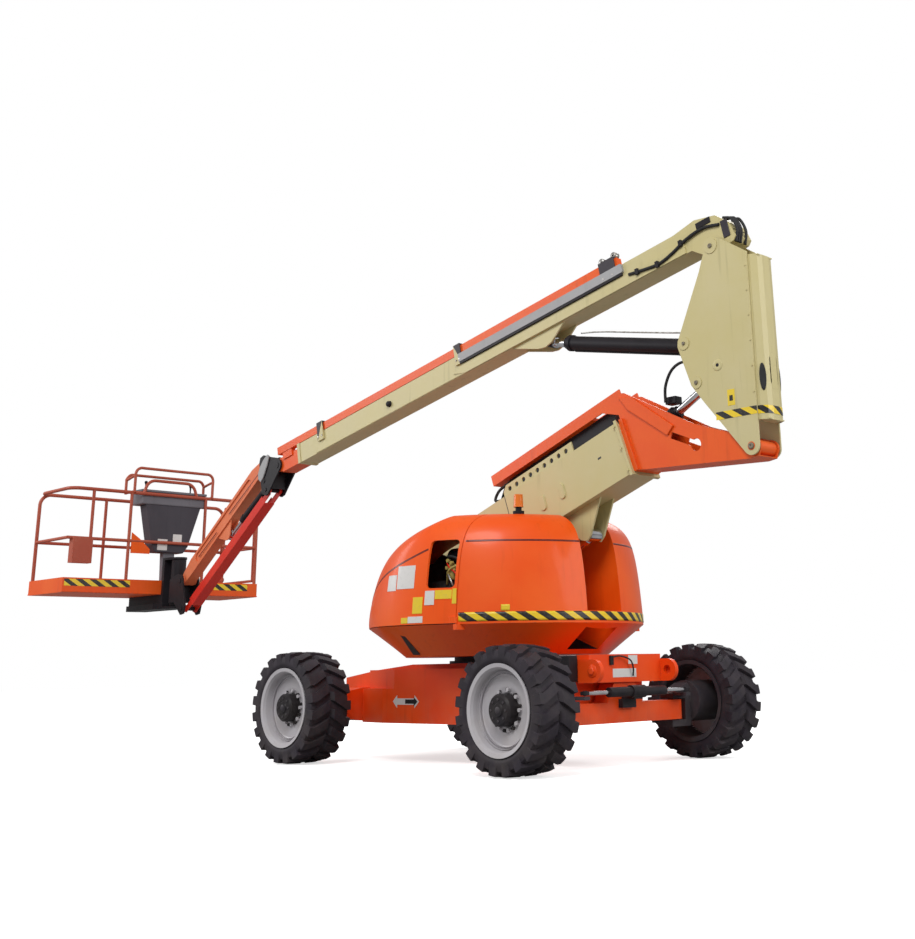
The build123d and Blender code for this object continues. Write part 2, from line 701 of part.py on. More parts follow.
# ================================================================ tower
FLY_HALF = TOWER_HALF - TOWER_WALL - FLY_GAP
FLY_LOW = TOWER_LOW + TOWER_WALL + FLY_GAP
FLY_HIGH = TOWER_HIGH - TOWER_WALL - FLY_GAP

with BuildPart() as tower_base:
    with BuildSketch(TOWER) as base_profile:
        with BuildLine():
            Polyline(
                (-70, -105), (60, -150), (330, TOWER_LOW), (TOWER_LENGTH, TOWER_LOW),
                (TOWER_LENGTH, TOWER_HIGH), (260, TOWER_HIGH), (40, 130), (-70, 95), close=True,
            )
        make_face()
        Circle(118)
    extrude(amount=TOWER_HALF, both=True)
    with BuildSketch(TOWER) as base_hollow:
        with Locations(((TOWER_LENGTH + 400) / 2, (TOWER_LOW + TOWER_HIGH) / 2)):
            Rectangle(TOWER_LENGTH - 380, TOWER_HIGH - TOWER_LOW - 2 * TOWER_WALL)
    extrude(amount=TOWER_HALF - TOWER_WALL, both=True, mode=Mode.SUBTRACT)
    # pivot pin with its bosses and keepers
    with BuildSketch(TOWER) as pivot_boss:
        Circle(84)
    extrude(amount=160, both=True)
    with BuildSketch(TOWER) as pivot_pin:
        Circle(TOWER_PIN)
    extrude(amount=WEB_HALF - 1, both=True)
    # collar plate at the mouth
    with BuildSketch(TOWER) as mouth_profile:
        with Locations((TOWER_LENGTH - 14, (TOWER_LOW + TOWER_HIGH) / 2)):
            Rectangle(28, TOWER_HIGH - TOWER_LOW + 34)
    extrude(amount=TOWER_HALF + 12, both=True)
    with BuildSketch(TOWER) as mouth_hollow:
        with Locations((TOWER_LENGTH, (TOWER_LOW + TOWER_HIGH) / 2)):
            Rectangle(120, FLY_HIGH - FLY_LOW + 2 * RUN_GAP)
    extrude(amount=FLY_HALF + RUN_GAP, both=True, mode=Mode.SUBTRACT)
    # brackets for the lift cylinder under the tube
    with BuildSketch(TOWER) as lift_profile:
        with BuildLine():
            Polyline(
                (1400, TOWER_LOW + 4), (1600, TOWER_LIFT_V - 30), (TOWER_LIFT_U, TOWER_LIFT_V - 56),
                (1700, TOWER_LIFT_V - 30), (1900, TOWER_LOW + 4), close=True,
            )
        make_face()
    extrude(amount=84, both=True)
    with BuildSketch(TOWER) as lift_gap:
        with Locations((TOWER_LIFT_U, TOWER_LOW - 200)):
            Rectangle(700, 400)
    extrude(amount=68, both=True, mode=Mode.SUBTRACT)
    # cable tray and its two saddle bosses on top
    with BuildSketch(TOWER) as tray_profile:
        with BuildLine():
            Polyline(
                (1000, TOWER_HIGH - 4), (2250, TOWER_HIGH - 4), (2250, 300), (2190, 322),
                (1070, 322), (1000, 290), close=True,
            )
        make_face()
    extrude(amount=60, both=True)
    # perforated flange plate on the near side
    with BuildSketch(TOWER.offset(116)) as flange_profile:
        with BuildLine():
            Polyline(
                (985, TOWER_HIGH - 6), (985, 225), (1030, 270), (1813, 270),
                (1813, TOWER_HIGH - 6), close=True,
            )
        make_face()
        with Locations((1400, 226)):
            with GridLocations(84, 1, 9, 1):
                Circle(20, mode=Mode.SUBTRACT)
    extrude(amount=12)
    # curved hose bosses on the near side
    for boss_u, boss_v in ((1385, -55), (1605, -58)):
        with BuildSketch(TOWER.offset(TOWER_HALF - 2)) as hose_boss:
            with Locations((boss_u, boss_v)):
                SlotOverall(130, 62, rotation=90)
        extrude(amount=14, taper=20)
save(tower_base, "tower_base")

with BuildPart() as tower_fly:
    with BuildSketch(TOWER) as fly_profile:
        with Locations(((480 + TOWER_LENGTH + 30) / 2, (FLY_LOW + FLY_HIGH) / 2)):
            Rectangle(TOWER_LENGTH + 30 - 480, FLY_HIGH - FLY_LOW)
    extrude(amount=FLY_HALF, both=True)
    with BuildSketch(TOWER) as fly_hollow:
        with Locations(((400 + TOWER_LENGTH + 100) / 2, (FLY_LOW + FLY_HIGH) / 2)):
            Rectangle(TOWER_LENGTH + 100 - 400, FLY_HIGH - FLY_LOW - 16)
    extrude(amount=FLY_HALF - 8, both=True, mode=Mode.SUBTRACT)
    # flange that closes the tube round the level cylinder
    with BuildSketch(TOWER) as flange_side:
        with Locations((TOWER_LENGTH + 22, -20)):
            Rectangle(32, 430)
    extrude(amount=FLY_HALF, both=True)
    # nose plates that reach up to the upright
    with BuildSketch(SIDE) as nose_profile:
        with BuildLine():
            apex = in_plane(TOWER, TOWER_LENGTH + 8, 424)
            low = in_plane(TOWER, TOWER_LENGTH + 8, TOWER_LOW + 15)
            Polyline(
                apex, (1520, 2684), (2171, 2353), (2480, 2249), (2672, 2187), (2732, 2110),
                (2712, 2055), (2640, 2044), low, close=True,
            )
        make_face()
        with Locations(UPRIGHT_FOOT):
            Circle(64)
        with Locations((2180, 2200)):
            Circle(45, mode=Mode.SUBTRACT)
        with BuildLine():
            Polyline((1950, 2276), (2190, 2176), (2200, 2222), (1965, 2322), close=True)
        make_face(mode=Mode.SUBTRACT)
    extrude(amount=NOSE_HALF, both=True)
    with BuildSketch(SIDE) as nose_gap:
        with BuildLine():
            Polyline(
                in_plane(TOWER, TOWER_LENGTH - 60, 900), in_plane(TOWER, TOWER_LENGTH - 60, 196),
                in_plane(TOWER, TOWER_LENGTH + 38, 196), in_plane(TOWER, TOWER_LENGTH + 38, -216),
                (1760, 2120), (2700, 2062), (2900, 2062), (2900, 3300), close=True,
            )
        make_face()
    extrude(amount=NOSE_HALF - NOSE_PLATE, both=True, mode=Mode.SUBTRACT)
    with BuildSketch(TOWER) as flange_hole:
        with Locations((TOWER_LENGTH + 20, 0)):
            Rectangle(80, 310)
    extrude(amount=88, both=True, mode=Mode.SUBTRACT)
    # carrier rail above the tower, open where the lift cylinder comes down into it
    with BuildSketch(TOWER) as rail_profile:
        with Locations(((880 + 2400) / 2, 379)):
            Rectangle(2400 - 880, 90)
    extrude(amount=NOSE_HALF, both=True)
    with BuildSketch(TOWER) as rail_gap:
        with Locations(((2200 + 2500) / 2, 379)):
            Rectangle(300, 300)
        with Locations((1540, 420)):
            Rectangle(1330, 120)
    extrude(amount=NOSE_HALF - NOSE_PLATE, both=True, mode=Mode.SUBTRACT)
    with BuildSketch(TOWER) as rail_join:
        with BuildLine():
            Polyline((2180, 334), (2360, 334), (2360, 180), (2330, 180), (2325, 240), (2180, 330), close=True)
        make_face()
    extrude(amount=NOSE_HALF, both=True)
    with BuildSketch(TOWER) as rail_join_gap:
        with Locations((2260, 260)):
            Rectangle(400, 200)
    extrude(amount=NOSE_HALF - NOSE_PLATE, both=True, mode=Mode.SUBTRACT)
    # pin and keepers at the upright's foot, pin of the level cylinder
    with Locations(Location((UPRIGHT_FOOT[0], 0, UPRIGHT_FOOT[1]), (90, 0, 0))):
        Cylinder(PIN_RADIUS, 2 * UPRIGHT_HALF + 2)
        Cylinder(50, 2 * NOSE_HALF)
    with Locations(Location((LEVEL_BASE[0], 0, LEVEL_BASE[1]), (90, 0, 0))):
        Cylinder(PIN_RADIUS, 2 * FLY_HALF - 8)
save(tower_fly, "tower_fly")

# ================================================================ upright
with BuildPart() as upright_plates:
    with BuildSketch(SIDE) as upright_profile:
        with BuildLine():
            front = Polyline(
                (2399, 3690), (2314, 3463), (2083, 2975), (2079, 2935), (2187, 2627), (2300, 2480),
                (2622, 2086),
            )
            foot = ThreePointArc((2622, 2086), (2690, 2064), (2738, 2125))
            back = Polyline((2738, 2125), (2744, 3523), (2500, 3690), (2399, 3690))
        make_face()
        with Locations(UPRIGHT_HEAD):
            Circle(72)
        with Locations((2430, 2738)):
            Circle(36, mode=Mode.SUBTRACT)
        with Locations(UPRIGHT_FOOT):
            Circle(PIN_RADIUS + RUN_GAP, mode=Mode.SUBTRACT)
    extrude(amount=UPRIGHT_HALF, both=True)
    with BuildSketch(SIDE) as upright_gap:
        with Locations((2400, 2900)):
            Rectangle(1400, 2400)
    extrude(amount=UPRIGHT_HALF - UPRIGHT_PLATE, both=True, mode=Mode.SUBTRACT)
    # webs between the plates
    with BuildSketch(SIDE) as web_lines:
        with BuildLine():
            Polyline((2700, 2330), (2714, 2330), (2714, 3500), (2700, 3500), close=True)
        make_face()
        with BuildLine():
            Polyline((2232, 3270), (2246, 3264), (2316, 3420), (2302, 3426), close=True)
        make_face()
        with BuildLine():
            Polyline((2300, 2860), (2700, 2986), (2700, 3000), (2296, 2874), close=True)
        make_face()
    extrude(amount=UPRIGHT_HALF - 4, both=True)
    # pins at the head, at the lift cylinder's foot and stub bosses at the level cylinder's eye
    for pin_point in (UPRIGHT_HEAD, MAIN_LIFT_BASE):
        with Locations(Location((pin_point[0], 0, pin_point[1]), (90, 0, 0))):
            Cylinder(PIN_RADIUS, 2 * UPRIGHT_HALF)
    for side in (-1, 1):
        for pin_point, inner, outer, radius in (
            (UPRIGHT_HEAD, 112, 142, 58),
            (MAIN_LIFT_BASE, 66, 142, 48),
            (LEVEL_TOP, 68, 142, 45),
        ):
            with Locations(Location((pin_point[0], side * (inner + outer) / 2, pin_point[1]), (90, 0, 0))):
                Cylinder(radius, outer - inner)
save(upright_plates, "upright_plates")

with BuildPart() as upright_cover:
    with BuildSketch(Plane.XY.offset(2300)) as cover_plan:
        with BuildLine():
            Polyline(
                (2714 + SEAT_GAP, -119), (2760, -119), (2800, -86), (2812, -40), (2812, 40), (2800, 86),
                (2760, 119), (2714 + SEAT_GAP, 119), close=True,
            )
        make_face()
        with BuildLine():
            Polyline(
                (2700, -112), (2757, -112), (2793, -82), (2804, -38), (2804, 38), (2793, 82),
                (2757, 112), (2700, 112), close=True,
            )
        make_face(mode=Mode.SUBTRACT)
    extrude(amount=1200)
    with Locations((2764, 0, 3496)):
        Box(90, 180, 8)
    with Locations((2764, 0, 2306)):
        Box(90, 180, 8)
    with BuildSketch(Plane.YZ.offset(2760)) as grommet:
        with Locations((0, 2650)):
            SlotOverall(240, 90, rotation=90)
    extrude(amount=80, mode=Mode.SUBTRACT)
save(upright_cover, "upright_cover")

# ================================================================ main boom
with BuildPart() as main_base:
    with BuildSketch(MAIN) as main_profile:
        with BuildLine():
            Polyline(
                (-209, 0), (-183, 116), (-77, 231), (112, 279), (330, MAIN_HIGH), (MAIN_LENGTH, MAIN_HIGH),
                (MAIN_LENGTH, MAIN_LOW), (190, MAIN_LOW), (66, -46), (-66, -46), (-180, -30), close=True,
            )
        make_face()
        Circle(66)
    extrude(amount=MAIN_HALF, both=True)
    # doubler plates along the foot of the boom
    with BuildSketch(MAIN) as doubler_profile:
        with BuildLine():
            Polyline((240, 60), (2760, 60), (2900, 100), (2760, 148), (240, 148), close=True)
        make_face()
    extrude(amount=MAIN_HALF + 8, both=True)
    with BuildSketch(MAIN) as main_hollow:
        with Locations(((MAIN_LENGTH + 700) / 2, (MAIN_LOW + MAIN_HIGH) / 2)):
            Rectangle(MAIN_LENGTH - 460, MAIN_HIGH - MAIN_LOW - 2 * MAIN_WALL)
    extrude(amount=MAIN_HALF - MAIN_WALL, both=True, mode=Mode.SUBTRACT)
    with BuildSketch(MAIN) as tail_hollow:
        with BuildLine():
            Polyline(
                (-200, 60), (-90, 214), (110, 258), (300, 232), (300, 75), (110, 75),
                (80, 60), close=True,
            )
        make_face()
    extrude(amount=MAIN_HALF - 14, both=True, mode=Mode.SUBTRACT)
    with BuildSketch(MAIN) as main_pin_bore:
        Circle(PIN_RADIUS + RUN_GAP)
    extrude(amount=MAIN_HALF + 20, both=True, mode=Mode.SUBTRACT)
    # mouth collar
    with BuildSketch(MAIN) as main_mouth:
        with Locations((MAIN_LENGTH - 20, (MAIN_LOW + MAIN_HIGH) / 2)):
            Rectangle(40, MAIN_HIGH - MAIN_LOW + 8)
    extrude(amount=MAIN_HALF + 8, both=True)
    with BuildSketch(MAIN) as main_mouth_hole:
        with Locations((MAIN_LENGTH - 20, 144)):
            Rectangle(100, 150 + 2 * RUN_GAP)
    extrude(amount=80 + RUN_GAP, both=True, mode=Mode.SUBTRACT)
    # carrier strip on the near side
    with BuildSketch(MAIN.offset(-MAIN_HALF + 2)) as strip_profile:
        with Locations((1825, 212)):
            RectangleRounded(1950, 74, 12)
    extrude(amount=-26)
    # lift cylinder bracket
    with BuildSketch(MAIN) as bracket_profile:
        with BuildLine():
            Polyline(
                (1560, MAIN_LOW + 2), (1740, MAIN_LIFT_V - 40), (MAIN_LIFT_U, MAIN_LIFT_V - 56),
                (1890, MAIN_LIFT_V - 40), (2180, MAIN_LOW + 2), close=True,
            )
        make_face()
    extrude(amount=84, both=True)
    with BuildSketch(MAIN) as bracket_gap:
        with Locations((1860, MAIN_LOW - 200)):
            Rectangle(900, 400)
    extrude(amount=68, both=True, mode=Mode.SUBTRACT)
    # guides that hold the fly's carrier rail
    for guide_u, guide_length in ((1000, 160), (2810, 80), (4850, 90)):
        for low_y, high_y, low_v, high_v in (
            (-118, -106, 160, 346), (-34, -22, 244, 346), (-118, -22, 336, 346), (-118, -98, 160, 236),
        ):
            with BuildSketch(MAIN.offset(low_y)) as guide_side:
                with Locations((guide_u, (low_v + high_v) / 2)):
                    Rectangle(guide_length, high_v - low_v)
            extrude(amount=high_y - low_y)
save(main_base, "main_base")

HEAD_U, HEAD_V = local(MAIN, HEAD_PIVOT)
with BuildPart() as main_fly:
    with BuildSketch(MAIN) as main_fly_profile:
        with Locations(((1000 + HEAD_U - 60) / 2, 144)):
            Rectangle(HEAD_U - 60 - 1000, 150)
    extrude(amount=80, both=True)
    with BuildSketch(MAIN) as main_fly_hollow:
        with Locations(((900 + HEAD_U - 120) / 2, 144)):
            Rectangle(HEAD_U - 120 - 900, 134)
    extrude(amount=72, both=True, mode=Mode.SUBTRACT)
    with BuildSketch(MAIN) as fly_nose:
        with BuildLine():
            Polyline(
                (HEAD_U - 130, 69), (HEAD_U - 130, 219), (HEAD_U, HEAD_V + 62), (HEAD_U + 40, HEAD_V),
                (HEAD_U, HEAD_V - 62), close=True,
            )
        make_face()
        with Locations((HEAD_U, HEAD_V)):
            Circle(62)
    extrude(amount=80, both=True)
    with BuildSketch(MAIN) as nose_bore:
        with Locations((HEAD_U, HEAD_V)):
            Circle(PIN_RADIUS + RUN_GAP)
    extrude(amount=90, both=True, mode=Mode.SUBTRACT)
    # carrier rail over the base tube, and the bracket that pulls it
    with BuildSketch(MAIN.offset(-100)) as carrier_rail:
        with Locations(((900 + 5590) / 2, 292.5)):
            Rectangle(5590 - 900, 75)
    extrude(amount=60)
    with BuildSketch(MAIN.offset(-94)) as carrier_bracket:
        with Locations((5440, 230)):
            Rectangle(150, 90)
    extrude(amount=50)
save(main_fly, "main_fly")

# ================================================================ jib head and jib
LINK_TOP = shifted(JIB_TOP, LINK_OFFSET)
LINK_FOOT = shifted(JIB_FOOT, LINK_OFFSET)
JIB_LENGTH = span(JIB_TOP, JIB_FOOT)
JIB = along(JIB_TOP, JIB_FOOT)
LINK = along(LINK_TOP, LINK_FOOT)
CHEEK_INNER = 86.0
CHEEK_OUTER = 104.0
ARM_LOW = 54.0
EYE_PLATE_INNER = 36.0
EYE_PLATE_OUTER = 46.0
LINK_INNER = 52.0
LINK_OUTER = 60.0

with BuildPart() as jib_head:
    with BuildSketch(SIDE) as head_profile:
        with BuildLine():
            Polyline(
                (-3080, 2752), (-3350, 2822), (-3405, 2800), (-3420, 2750), (-3350, 2430),
                (-3290, 2405), (-3240, 2420), (-3060, 2640), (-3045, 2700), close=True,
            )
        make_face()
        with Locations(HEAD_PIVOT):
            Circle(64)
    extrude(amount=CHEEK_OUTER, both=True)
    with BuildSketch(SIDE) as head_gap:
        with Locations((-3200, 2600)):
            Rectangle(700, 700)
        with BuildLine():
            Polyline((-3228, 2480), (-3208, 2470), (-3208, 2800), (-3228, 2800), close=True)
        make_face(mode=Mode.SUBTRACT)
    extrude(amount=CHEEK_INNER, both=True, mode=Mode.SUBTRACT)
    for pin_point, radius in (
        (HEAD_PIVOT, PIN_RADIUS), (JIB_TOP, PIN_RADIUS), (LINK_TOP, 22), (JIB_LIFT_BASE, 22),
    ):
        with Locations(Location((pin_point[0], 0, pin_point[1]), (90, 0, 0))):
            Cylinder(radius, 2 * CHEEK_OUTER + 12)
save(jib_head, "jib_head")

with BuildPart() as jib_arm:
    # tapered beam with the link on its positive side
    with BuildSketch(JIB) as arm_side:
        with BuildLine():
            Polyline(
                (0, -52), (240, -104), (JIB_LENGTH - 240, -92), (JIB_LENGTH, -48),
                (JIB_LENGTH, 48), (JIB_LENGTH - 200, ARM_LOW), (240, ARM_LOW), (0, 48), close=True,
            )
        make_face()
        Circle(52)
        with Locations((JIB_LENGTH, 0)):
            Circle(50)
    extrude(amount=JIB_HALF, both=True)
    with BuildSketch(JIB) as arm_panel:
        with Locations((JIB_LENGTH / 2, -20)):
            SlotOverall(JIB_LENGTH - 620, 96)
    extrude(amount=JIB_HALF + 4, both=True, mode=Mode.SUBTRACT)
    with BuildSketch(JIB) as arm_web:
        with Locations((JIB_LENGTH / 2, -20)):
            SlotOverall(JIB_LENGTH - 610, 104)
    extrude(amount=JIB_HALF - 14, both=True)
    for end_u in (0, JIB_LENGTH):
        with BuildSketch(JIB) as arm_boss:
            with Locations((end_u, 0)):
                Circle(46)
        extrude(amount=CHEEK_INNER - SIDE_GAP, both=True)
    # bracket for the jib cylinder's eye
    eye_u, eye_v = local(JIB, JIB_LIFT_EYE)
    with BuildSketch(JIB) as eye_bracket:
        with BuildLine():
            Polyline(
                (eye_u - 150, ARM_LOW - 4), (eye_u - 40, eye_v + 26), (eye_u, eye_v + 42),
                (eye_u + 40, eye_v + 26), (eye_u + 150, ARM_LOW - 4), close=True,
            )
        make_face()
    extrude(amount=EYE_PLATE_OUTER, both=True)
    with BuildSketch(JIB) as eye_gap:
        with Locations((eye_u, ARM_LOW + 100)):
            Rectangle(500, 200)
    extrude(amount=EYE_PLATE_INNER, both=True, mode=Mode.SUBTRACT)
    with BuildSketch(JIB) as arm_bores:
        with Locations((0, 0), (JIB_LENGTH, 0)):
            Circle(PIN_RADIUS + RUN_GAP)
    extrude(amount=CHEEK_OUTER, both=True, mode=Mode.SUBTRACT)
save(jib_arm, "jib_arm")

with BuildPart() as jib_link:
    # channel open towards the beam, so the cylinder can lie in it
    with BuildSketch(LINK) as link_side:
        with Locations((JIB_LENGTH / 2, 15)):
            Rectangle(JIB_LENGTH - 260, 90)
        Circle(38)
        with Locations((JIB_LENGTH, 0)):
            Circle(38)
        with Locations((JIB_LENGTH / 2, 22)):
            Rectangle(JIB_LENGTH, 60)
    extrude(amount=LINK_OUTER, both=True)
    with BuildSketch(LINK) as link_gap:
        with Locations((JIB_LENGTH / 2, 52 - 200)):
            Rectangle(JIB_LENGTH + 200, 400)
    extrude(amount=LINK_INNER, both=True, mode=Mode.SUBTRACT)
    for end_u in (0, JIB_LENGTH):
        for side in (-1, 1):
            with Locations(LINK.location * Location((end_u, 0, side * 64))):
                Cylinder(36, 30)
    with BuildSketch(LINK) as link_bores:
        with Locations((0, 0), (JIB_LENGTH, 0)):
            Circle(22 + RUN_GAP)
    extrude(amount=CHEEK_OUTER, both=True, mode=Mode.SUBTRACT)
save(jib_link, "jib_link")

# ================================================================ platform carrier
MAST_LOW = 1406.0
MAST_HIGH = 1890.0
with BuildPart() as platform_support:
    with BuildSketch(SIDE) as support_profile:
        with BuildLine():
            Polyline(
                (-4850, 1722), (-4790, 1660), (-4716, 1390), (-4740, 1310), (-4800, 1300),
                (-4960, 1450), (-5000, 1480), (-5000, 1700), (-4900, 1730), close=True,
            )
        make_face()
        with Locations(JIB_FOOT):
            Circle(62)
    extrude(amount=CHEEK_OUTER, both=True)
    with BuildSketch(SIDE) as support_gap:
        with Locations((-4950 + 230, 1500)):
            Rectangle(440, 900)
    extrude(amount=CHEEK_INNER, both=True, mode=Mode.SUBTRACT)
    with Locations((ROTATOR_X, 0, MAST_LOW)):
        Cylinder(78, MAST_HIGH - MAST_LOW, align=(Align.CENTER, Align.CENTER, Align.MIN))
    with Locations((-4990, 0, 1560)):
        Box(120, 2 * CHEEK_OUTER, 250)
    with Locations((ROTATOR_X, 0, MAST_LOW - 30)):
        Cylinder(32, MAST_HIGH - MAST_LOW + 60, align=(Align.CENTER, Align.CENTER, Align.MIN))
    for pin_point, radius in ((JIB_FOOT, PIN_RADIUS), (LINK_FOOT, 22)):
        with Locations(Location((pin_point[0], 0, pin_point[1]), (90, 0, 0))):
            Cylinder(radius, 2 * CHEEK_OUTER + 12)
save(platform_support, "platform_support")

TRAY_NEAR = PLATFORM_X
TRAY_FAR = PLATFORM_X - PLATFORM_WIDTH
TRAY_X = (TRAY_NEAR + TRAY_FAR) / 2
END_RIGHT = PLATFORM_Y - PLATFORM_LENGTH / 2
END_LEFT = PLATFORM_Y + PLATFORM_LENGTH / 2
with BuildPart() as platform_rotator:
    # C-shaped bracket that swings round the mast
    for plate_z, plate_thick in ((MAST_LOW - 24 - SIDE_GAP, 24), (MAST_HIGH + SIDE_GAP, 24)):
        with BuildSketch(Plane.XY.offset(plate_z)) as swing_plate:
            with BuildLine():
                Polyline(
                    (ROTATOR_X, -84), (-5140, -110), (-5212, -110), (-5212, 110), (-5140, 110),
                    (ROTATOR_X, 84), close=True,
                )
            make_face()
            with Locations((ROTATOR_X, 0)):
                Circle(84)
            with Locations((ROTATOR_X, 0)):
                Circle(32 + RUN_GAP, mode=Mode.SUBTRACT)
        extrude(amount=plate_thick)
    with BuildSketch(Plane.XY.offset(MAST_LOW - 30)) as swing_back:
        with Locations((-5193, 0)):
            Rectangle(38, 220)
    extrude(amount=MAST_HIGH - MAST_LOW + 60)
    # beam under the tray
    with BuildSketch(Plane.XY.offset(MAST_LOW - 30)) as under_plan:
        with BuildLine():
            Polyline(
                (-5166, -110), (-5300, -150), (TRAY_FAR + 60, -120), (TRAY_FAR + 60, 120),
                (-5300, 150), (-5166, 110), close=True,
            )
        make_face()
    extrude(amount=60)
    for rib_y in (-100, 100):
        with BuildSketch(SIDE.offset(-rib_y)) as under_rib:
            with BuildLine():
                Polyline(
                    (-5200, 1430), (TRAY_FAR + 90, 1430), (TRAY_FAR + 90, PLATFORM_Z - SEAT_GAP),
                    (-5200, PLATFORM_Z - SEAT_GAP), close=True,
                )
            make_face()
        extrude(amount=8, both=True)
save(platform_rotator, "platform_rotator")

TOE_PLATE = 6.0
with BuildPart() as platform_tray:
    with Locations((TRAY_X, PLATFORM_Y, PLATFORM_Z)):
        Box(PLATFORM_WIDTH, PLATFORM_LENGTH, TOE_HEIGHT, align=STANDING)
    with Locations((TRAY_X, PLATFORM_Y, PLATFORM_Z + 46)):
        Box(
            PLATFORM_WIDTH - 2 * TOE_PLATE, PLATFORM_LENGTH - 2 * TOE_PLATE, TOE_HEIGHT,
            align=STANDING, mode=Mode.SUBTRACT,
        )
    with BuildSketch(Plane.XY.offset(PLATFORM_Z + 40)) as floor_slots:
        with Locations((TRAY_X, PLATFORM_Y)):
            with GridLocations(110, 150, 6, 15):
                SlotOverall(70, 18)
    extrude(amount=-14, mode=Mode.SUBTRACT)
    # folded lips and corner flares
    for lip_x in (TRAY_NEAR, TRAY_FAR):
        with Locations((lip_x, PLATFORM_Y, PLATFORM_Z + 4)):
            Box(14, PLATFORM_LENGTH + 8, 8, align=(Align.CENTER, Align.CENTER, Align.MIN))
save(platform_tray, "platform_tray")

POST_LOW = PLATFORM_Z + 46
GATE_TUBE = TUBE_RADIUS - 4
RAIL_TOP = PLATFORM_Z + RAIL_HEIGHT - TUBE_RADIUS
MID_RAIL = PLATFORM_Z + 560
POST_IN = TUBE_RADIUS + TOE_PLATE + SEAT_GAP
NEAR = TRAY_NEAR - POST_IN
FAR = TRAY_FAR + POST_IN
RIGHT = END_RIGHT + POST_IN
LEFT = END_LEFT - POST_IN
BEND = 120.0
GATE_X0 = FAR + TUBE_RADIUS + 22


def tube(points, radius):
    """Round tube along a polyline whose corners are rounded by BEND."""
    with BuildPart(mode=Mode.PRIVATE) as piece:
        with BuildLine() as path:
            if len(points) > 2:
                FilletPolyline(*points, radius=BEND)
            else:
                Line(*points)
        with BuildSketch(Plane(origin=path.line @ 0, z_dir=path.line % 0)):
            Circle(radius)
        sweep()
    return piece.part


with BuildPart() as platform_rails:
    for end_x in (FAR, NEAR):
        hoop = [(end_x, LEFT, POST_LOW), (end_x, LEFT, RAIL_TOP), (end_x, RIGHT, RAIL_TOP), (end_x, RIGHT, POST_LOW)]
        add(tube(hoop, TUBE_RADIUS))
    corner_y = RIGHT + 2 * BEND
    side_hoop = [(FAR, corner_y, RAIL_TOP), (FAR, RIGHT, RAIL_TOP), (NEAR, RIGHT, RAIL_TOP), (NEAR, corner_y, RAIL_TOP)]
    add(tube(side_hoop, TUBE_RADIUS))
    for start, end in (
        ((FAR, LEFT, MID_RAIL), (FAR, RIGHT, MID_RAIL)),
        ((NEAR, LEFT, MID_RAIL), (NEAR, RIGHT, MID_RAIL)),
        ((FAR, RIGHT, MID_RAIL), (NEAR, RIGHT, MID_RAIL)),
        ((FAR, PLATFORM_Y - 380, POST_LOW), (FAR, PLATFORM_Y - 380, RAIL_TOP)),
        ((FAR, PLATFORM_Y + 380, POST_LOW), (FAR, PLATFORM_Y + 380, RAIL_TOP)),
        ((NEAR, PLATFORM_Y - 460, POST_LOW), (NEAR, PLATFORM_Y - 460, RAIL_TOP)),
        ((NEAR, PLATFORM_Y + 460, POST_LOW), (NEAR, PLATFORM_Y + 460, RAIL_TOP)),
        ((NEAR, PLATFORM_Y - 900, MID_RAIL), (NEAR, PLATFORM_Y - 900, RAIL_TOP)),
    ):
        add(tube([start, end], TUBE_RADIUS - 2))
    # taller hoop over the controls
    console_hoop = [(NEAR, -380, RAIL_TOP), (NEAR, -330, RAIL_TOP + 150), (NEAR, 230, RAIL_TOP + 150), (NEAR, 280, RAIL_TOP)]
    add(tube(console_hoop, TUBE_RADIUS - 2))
    # foot plates of the posts
    for post_x, post_y in (
        (FAR, PLATFORM_Y - 380), (FAR, PLATFORM_Y + 380), (NEAR, PLATFORM_Y - 460), (NEAR, PLATFORM_Y + 460),
    ):
        with Locations((post_x, post_y, POST_LOW)):
            Box(38, 84, 8, align=(Align.CENTER, Align.CENTER, Align.MIN))
    # eyes the gate hangs in
    for eye_z in (POST_LOW + 190, RAIL_TOP - 90):
        with Locations((GATE_X0, LEFT, eye_z)):
            Cylinder(GATE_TUBE + 9, 36)
        with Locations((FAR + 20, LEFT, eye_z)):
            Box(24, 20, 36)
        with Locations((GATE_X0, LEFT, eye_z)):
            Cylinder(GATE_TUBE + RUN_GAP, 60, mode=Mode.SUBTRACT)
    # document box on the near side
    with Locations((NEAR + 10, RIGHT + 150, MID_RAIL - 130)):
        Box(90, 220, 260)
save(platform_rails, "platform_rails")

with BuildPart() as console:
    with BuildSketch(SIDE) as console_side:
        with BuildLine():
            Polyline(
                (NEAR - 30, RAIL_TOP - 180), (NEAR - 200, RAIL_TOP - 130), (NEAR - 230, RAIL_TOP - 60),
                (NEAR - 60, RAIL_TOP + 30), (NEAR - 30, RAIL_TOP + 20), close=True,
            )
        make_face()
    extrude(amount=260, both=True)
    with BuildSketch(SIDE) as console_leg:
        with BuildLine():
            Polyline(
                (NEAR - 50, RAIL_TOP - 168), (NEAR - 150, RAIL_TOP - 120), (NEAR - 90, POST_LOW),
                (NEAR - 50, POST_LOW), close=True,
            )
        make_face()
    extrude(amount=70, both=True)
save(console, "console")

GATE_X1 = NEAR - TUBE_RADIUS - 24
with BuildPart() as platform_gate:
    for start, end in (
        ((GATE_X0, LEFT, POST_LOW + 140), (GATE_X0, LEFT, RAIL_TOP)),
        ((GATE_X1, LEFT, POST_LOW + 140), (GATE_X1, LEFT, RAIL_TOP)),
        ((GATE_X0, LEFT, RAIL_TOP), (GATE_X1, LEFT, RAIL_TOP)),
        ((GATE_X0, LEFT, MID_RAIL), (GATE_X1, LEFT, MID_RAIL)),
        ((GATE_X0, LEFT, POST_LOW + 140), (GATE_X1, LEFT, POST_LOW + 140)),
    ):
        add(tube([start, end], GATE_TUBE))
save(platform_gate, "platform_gate")
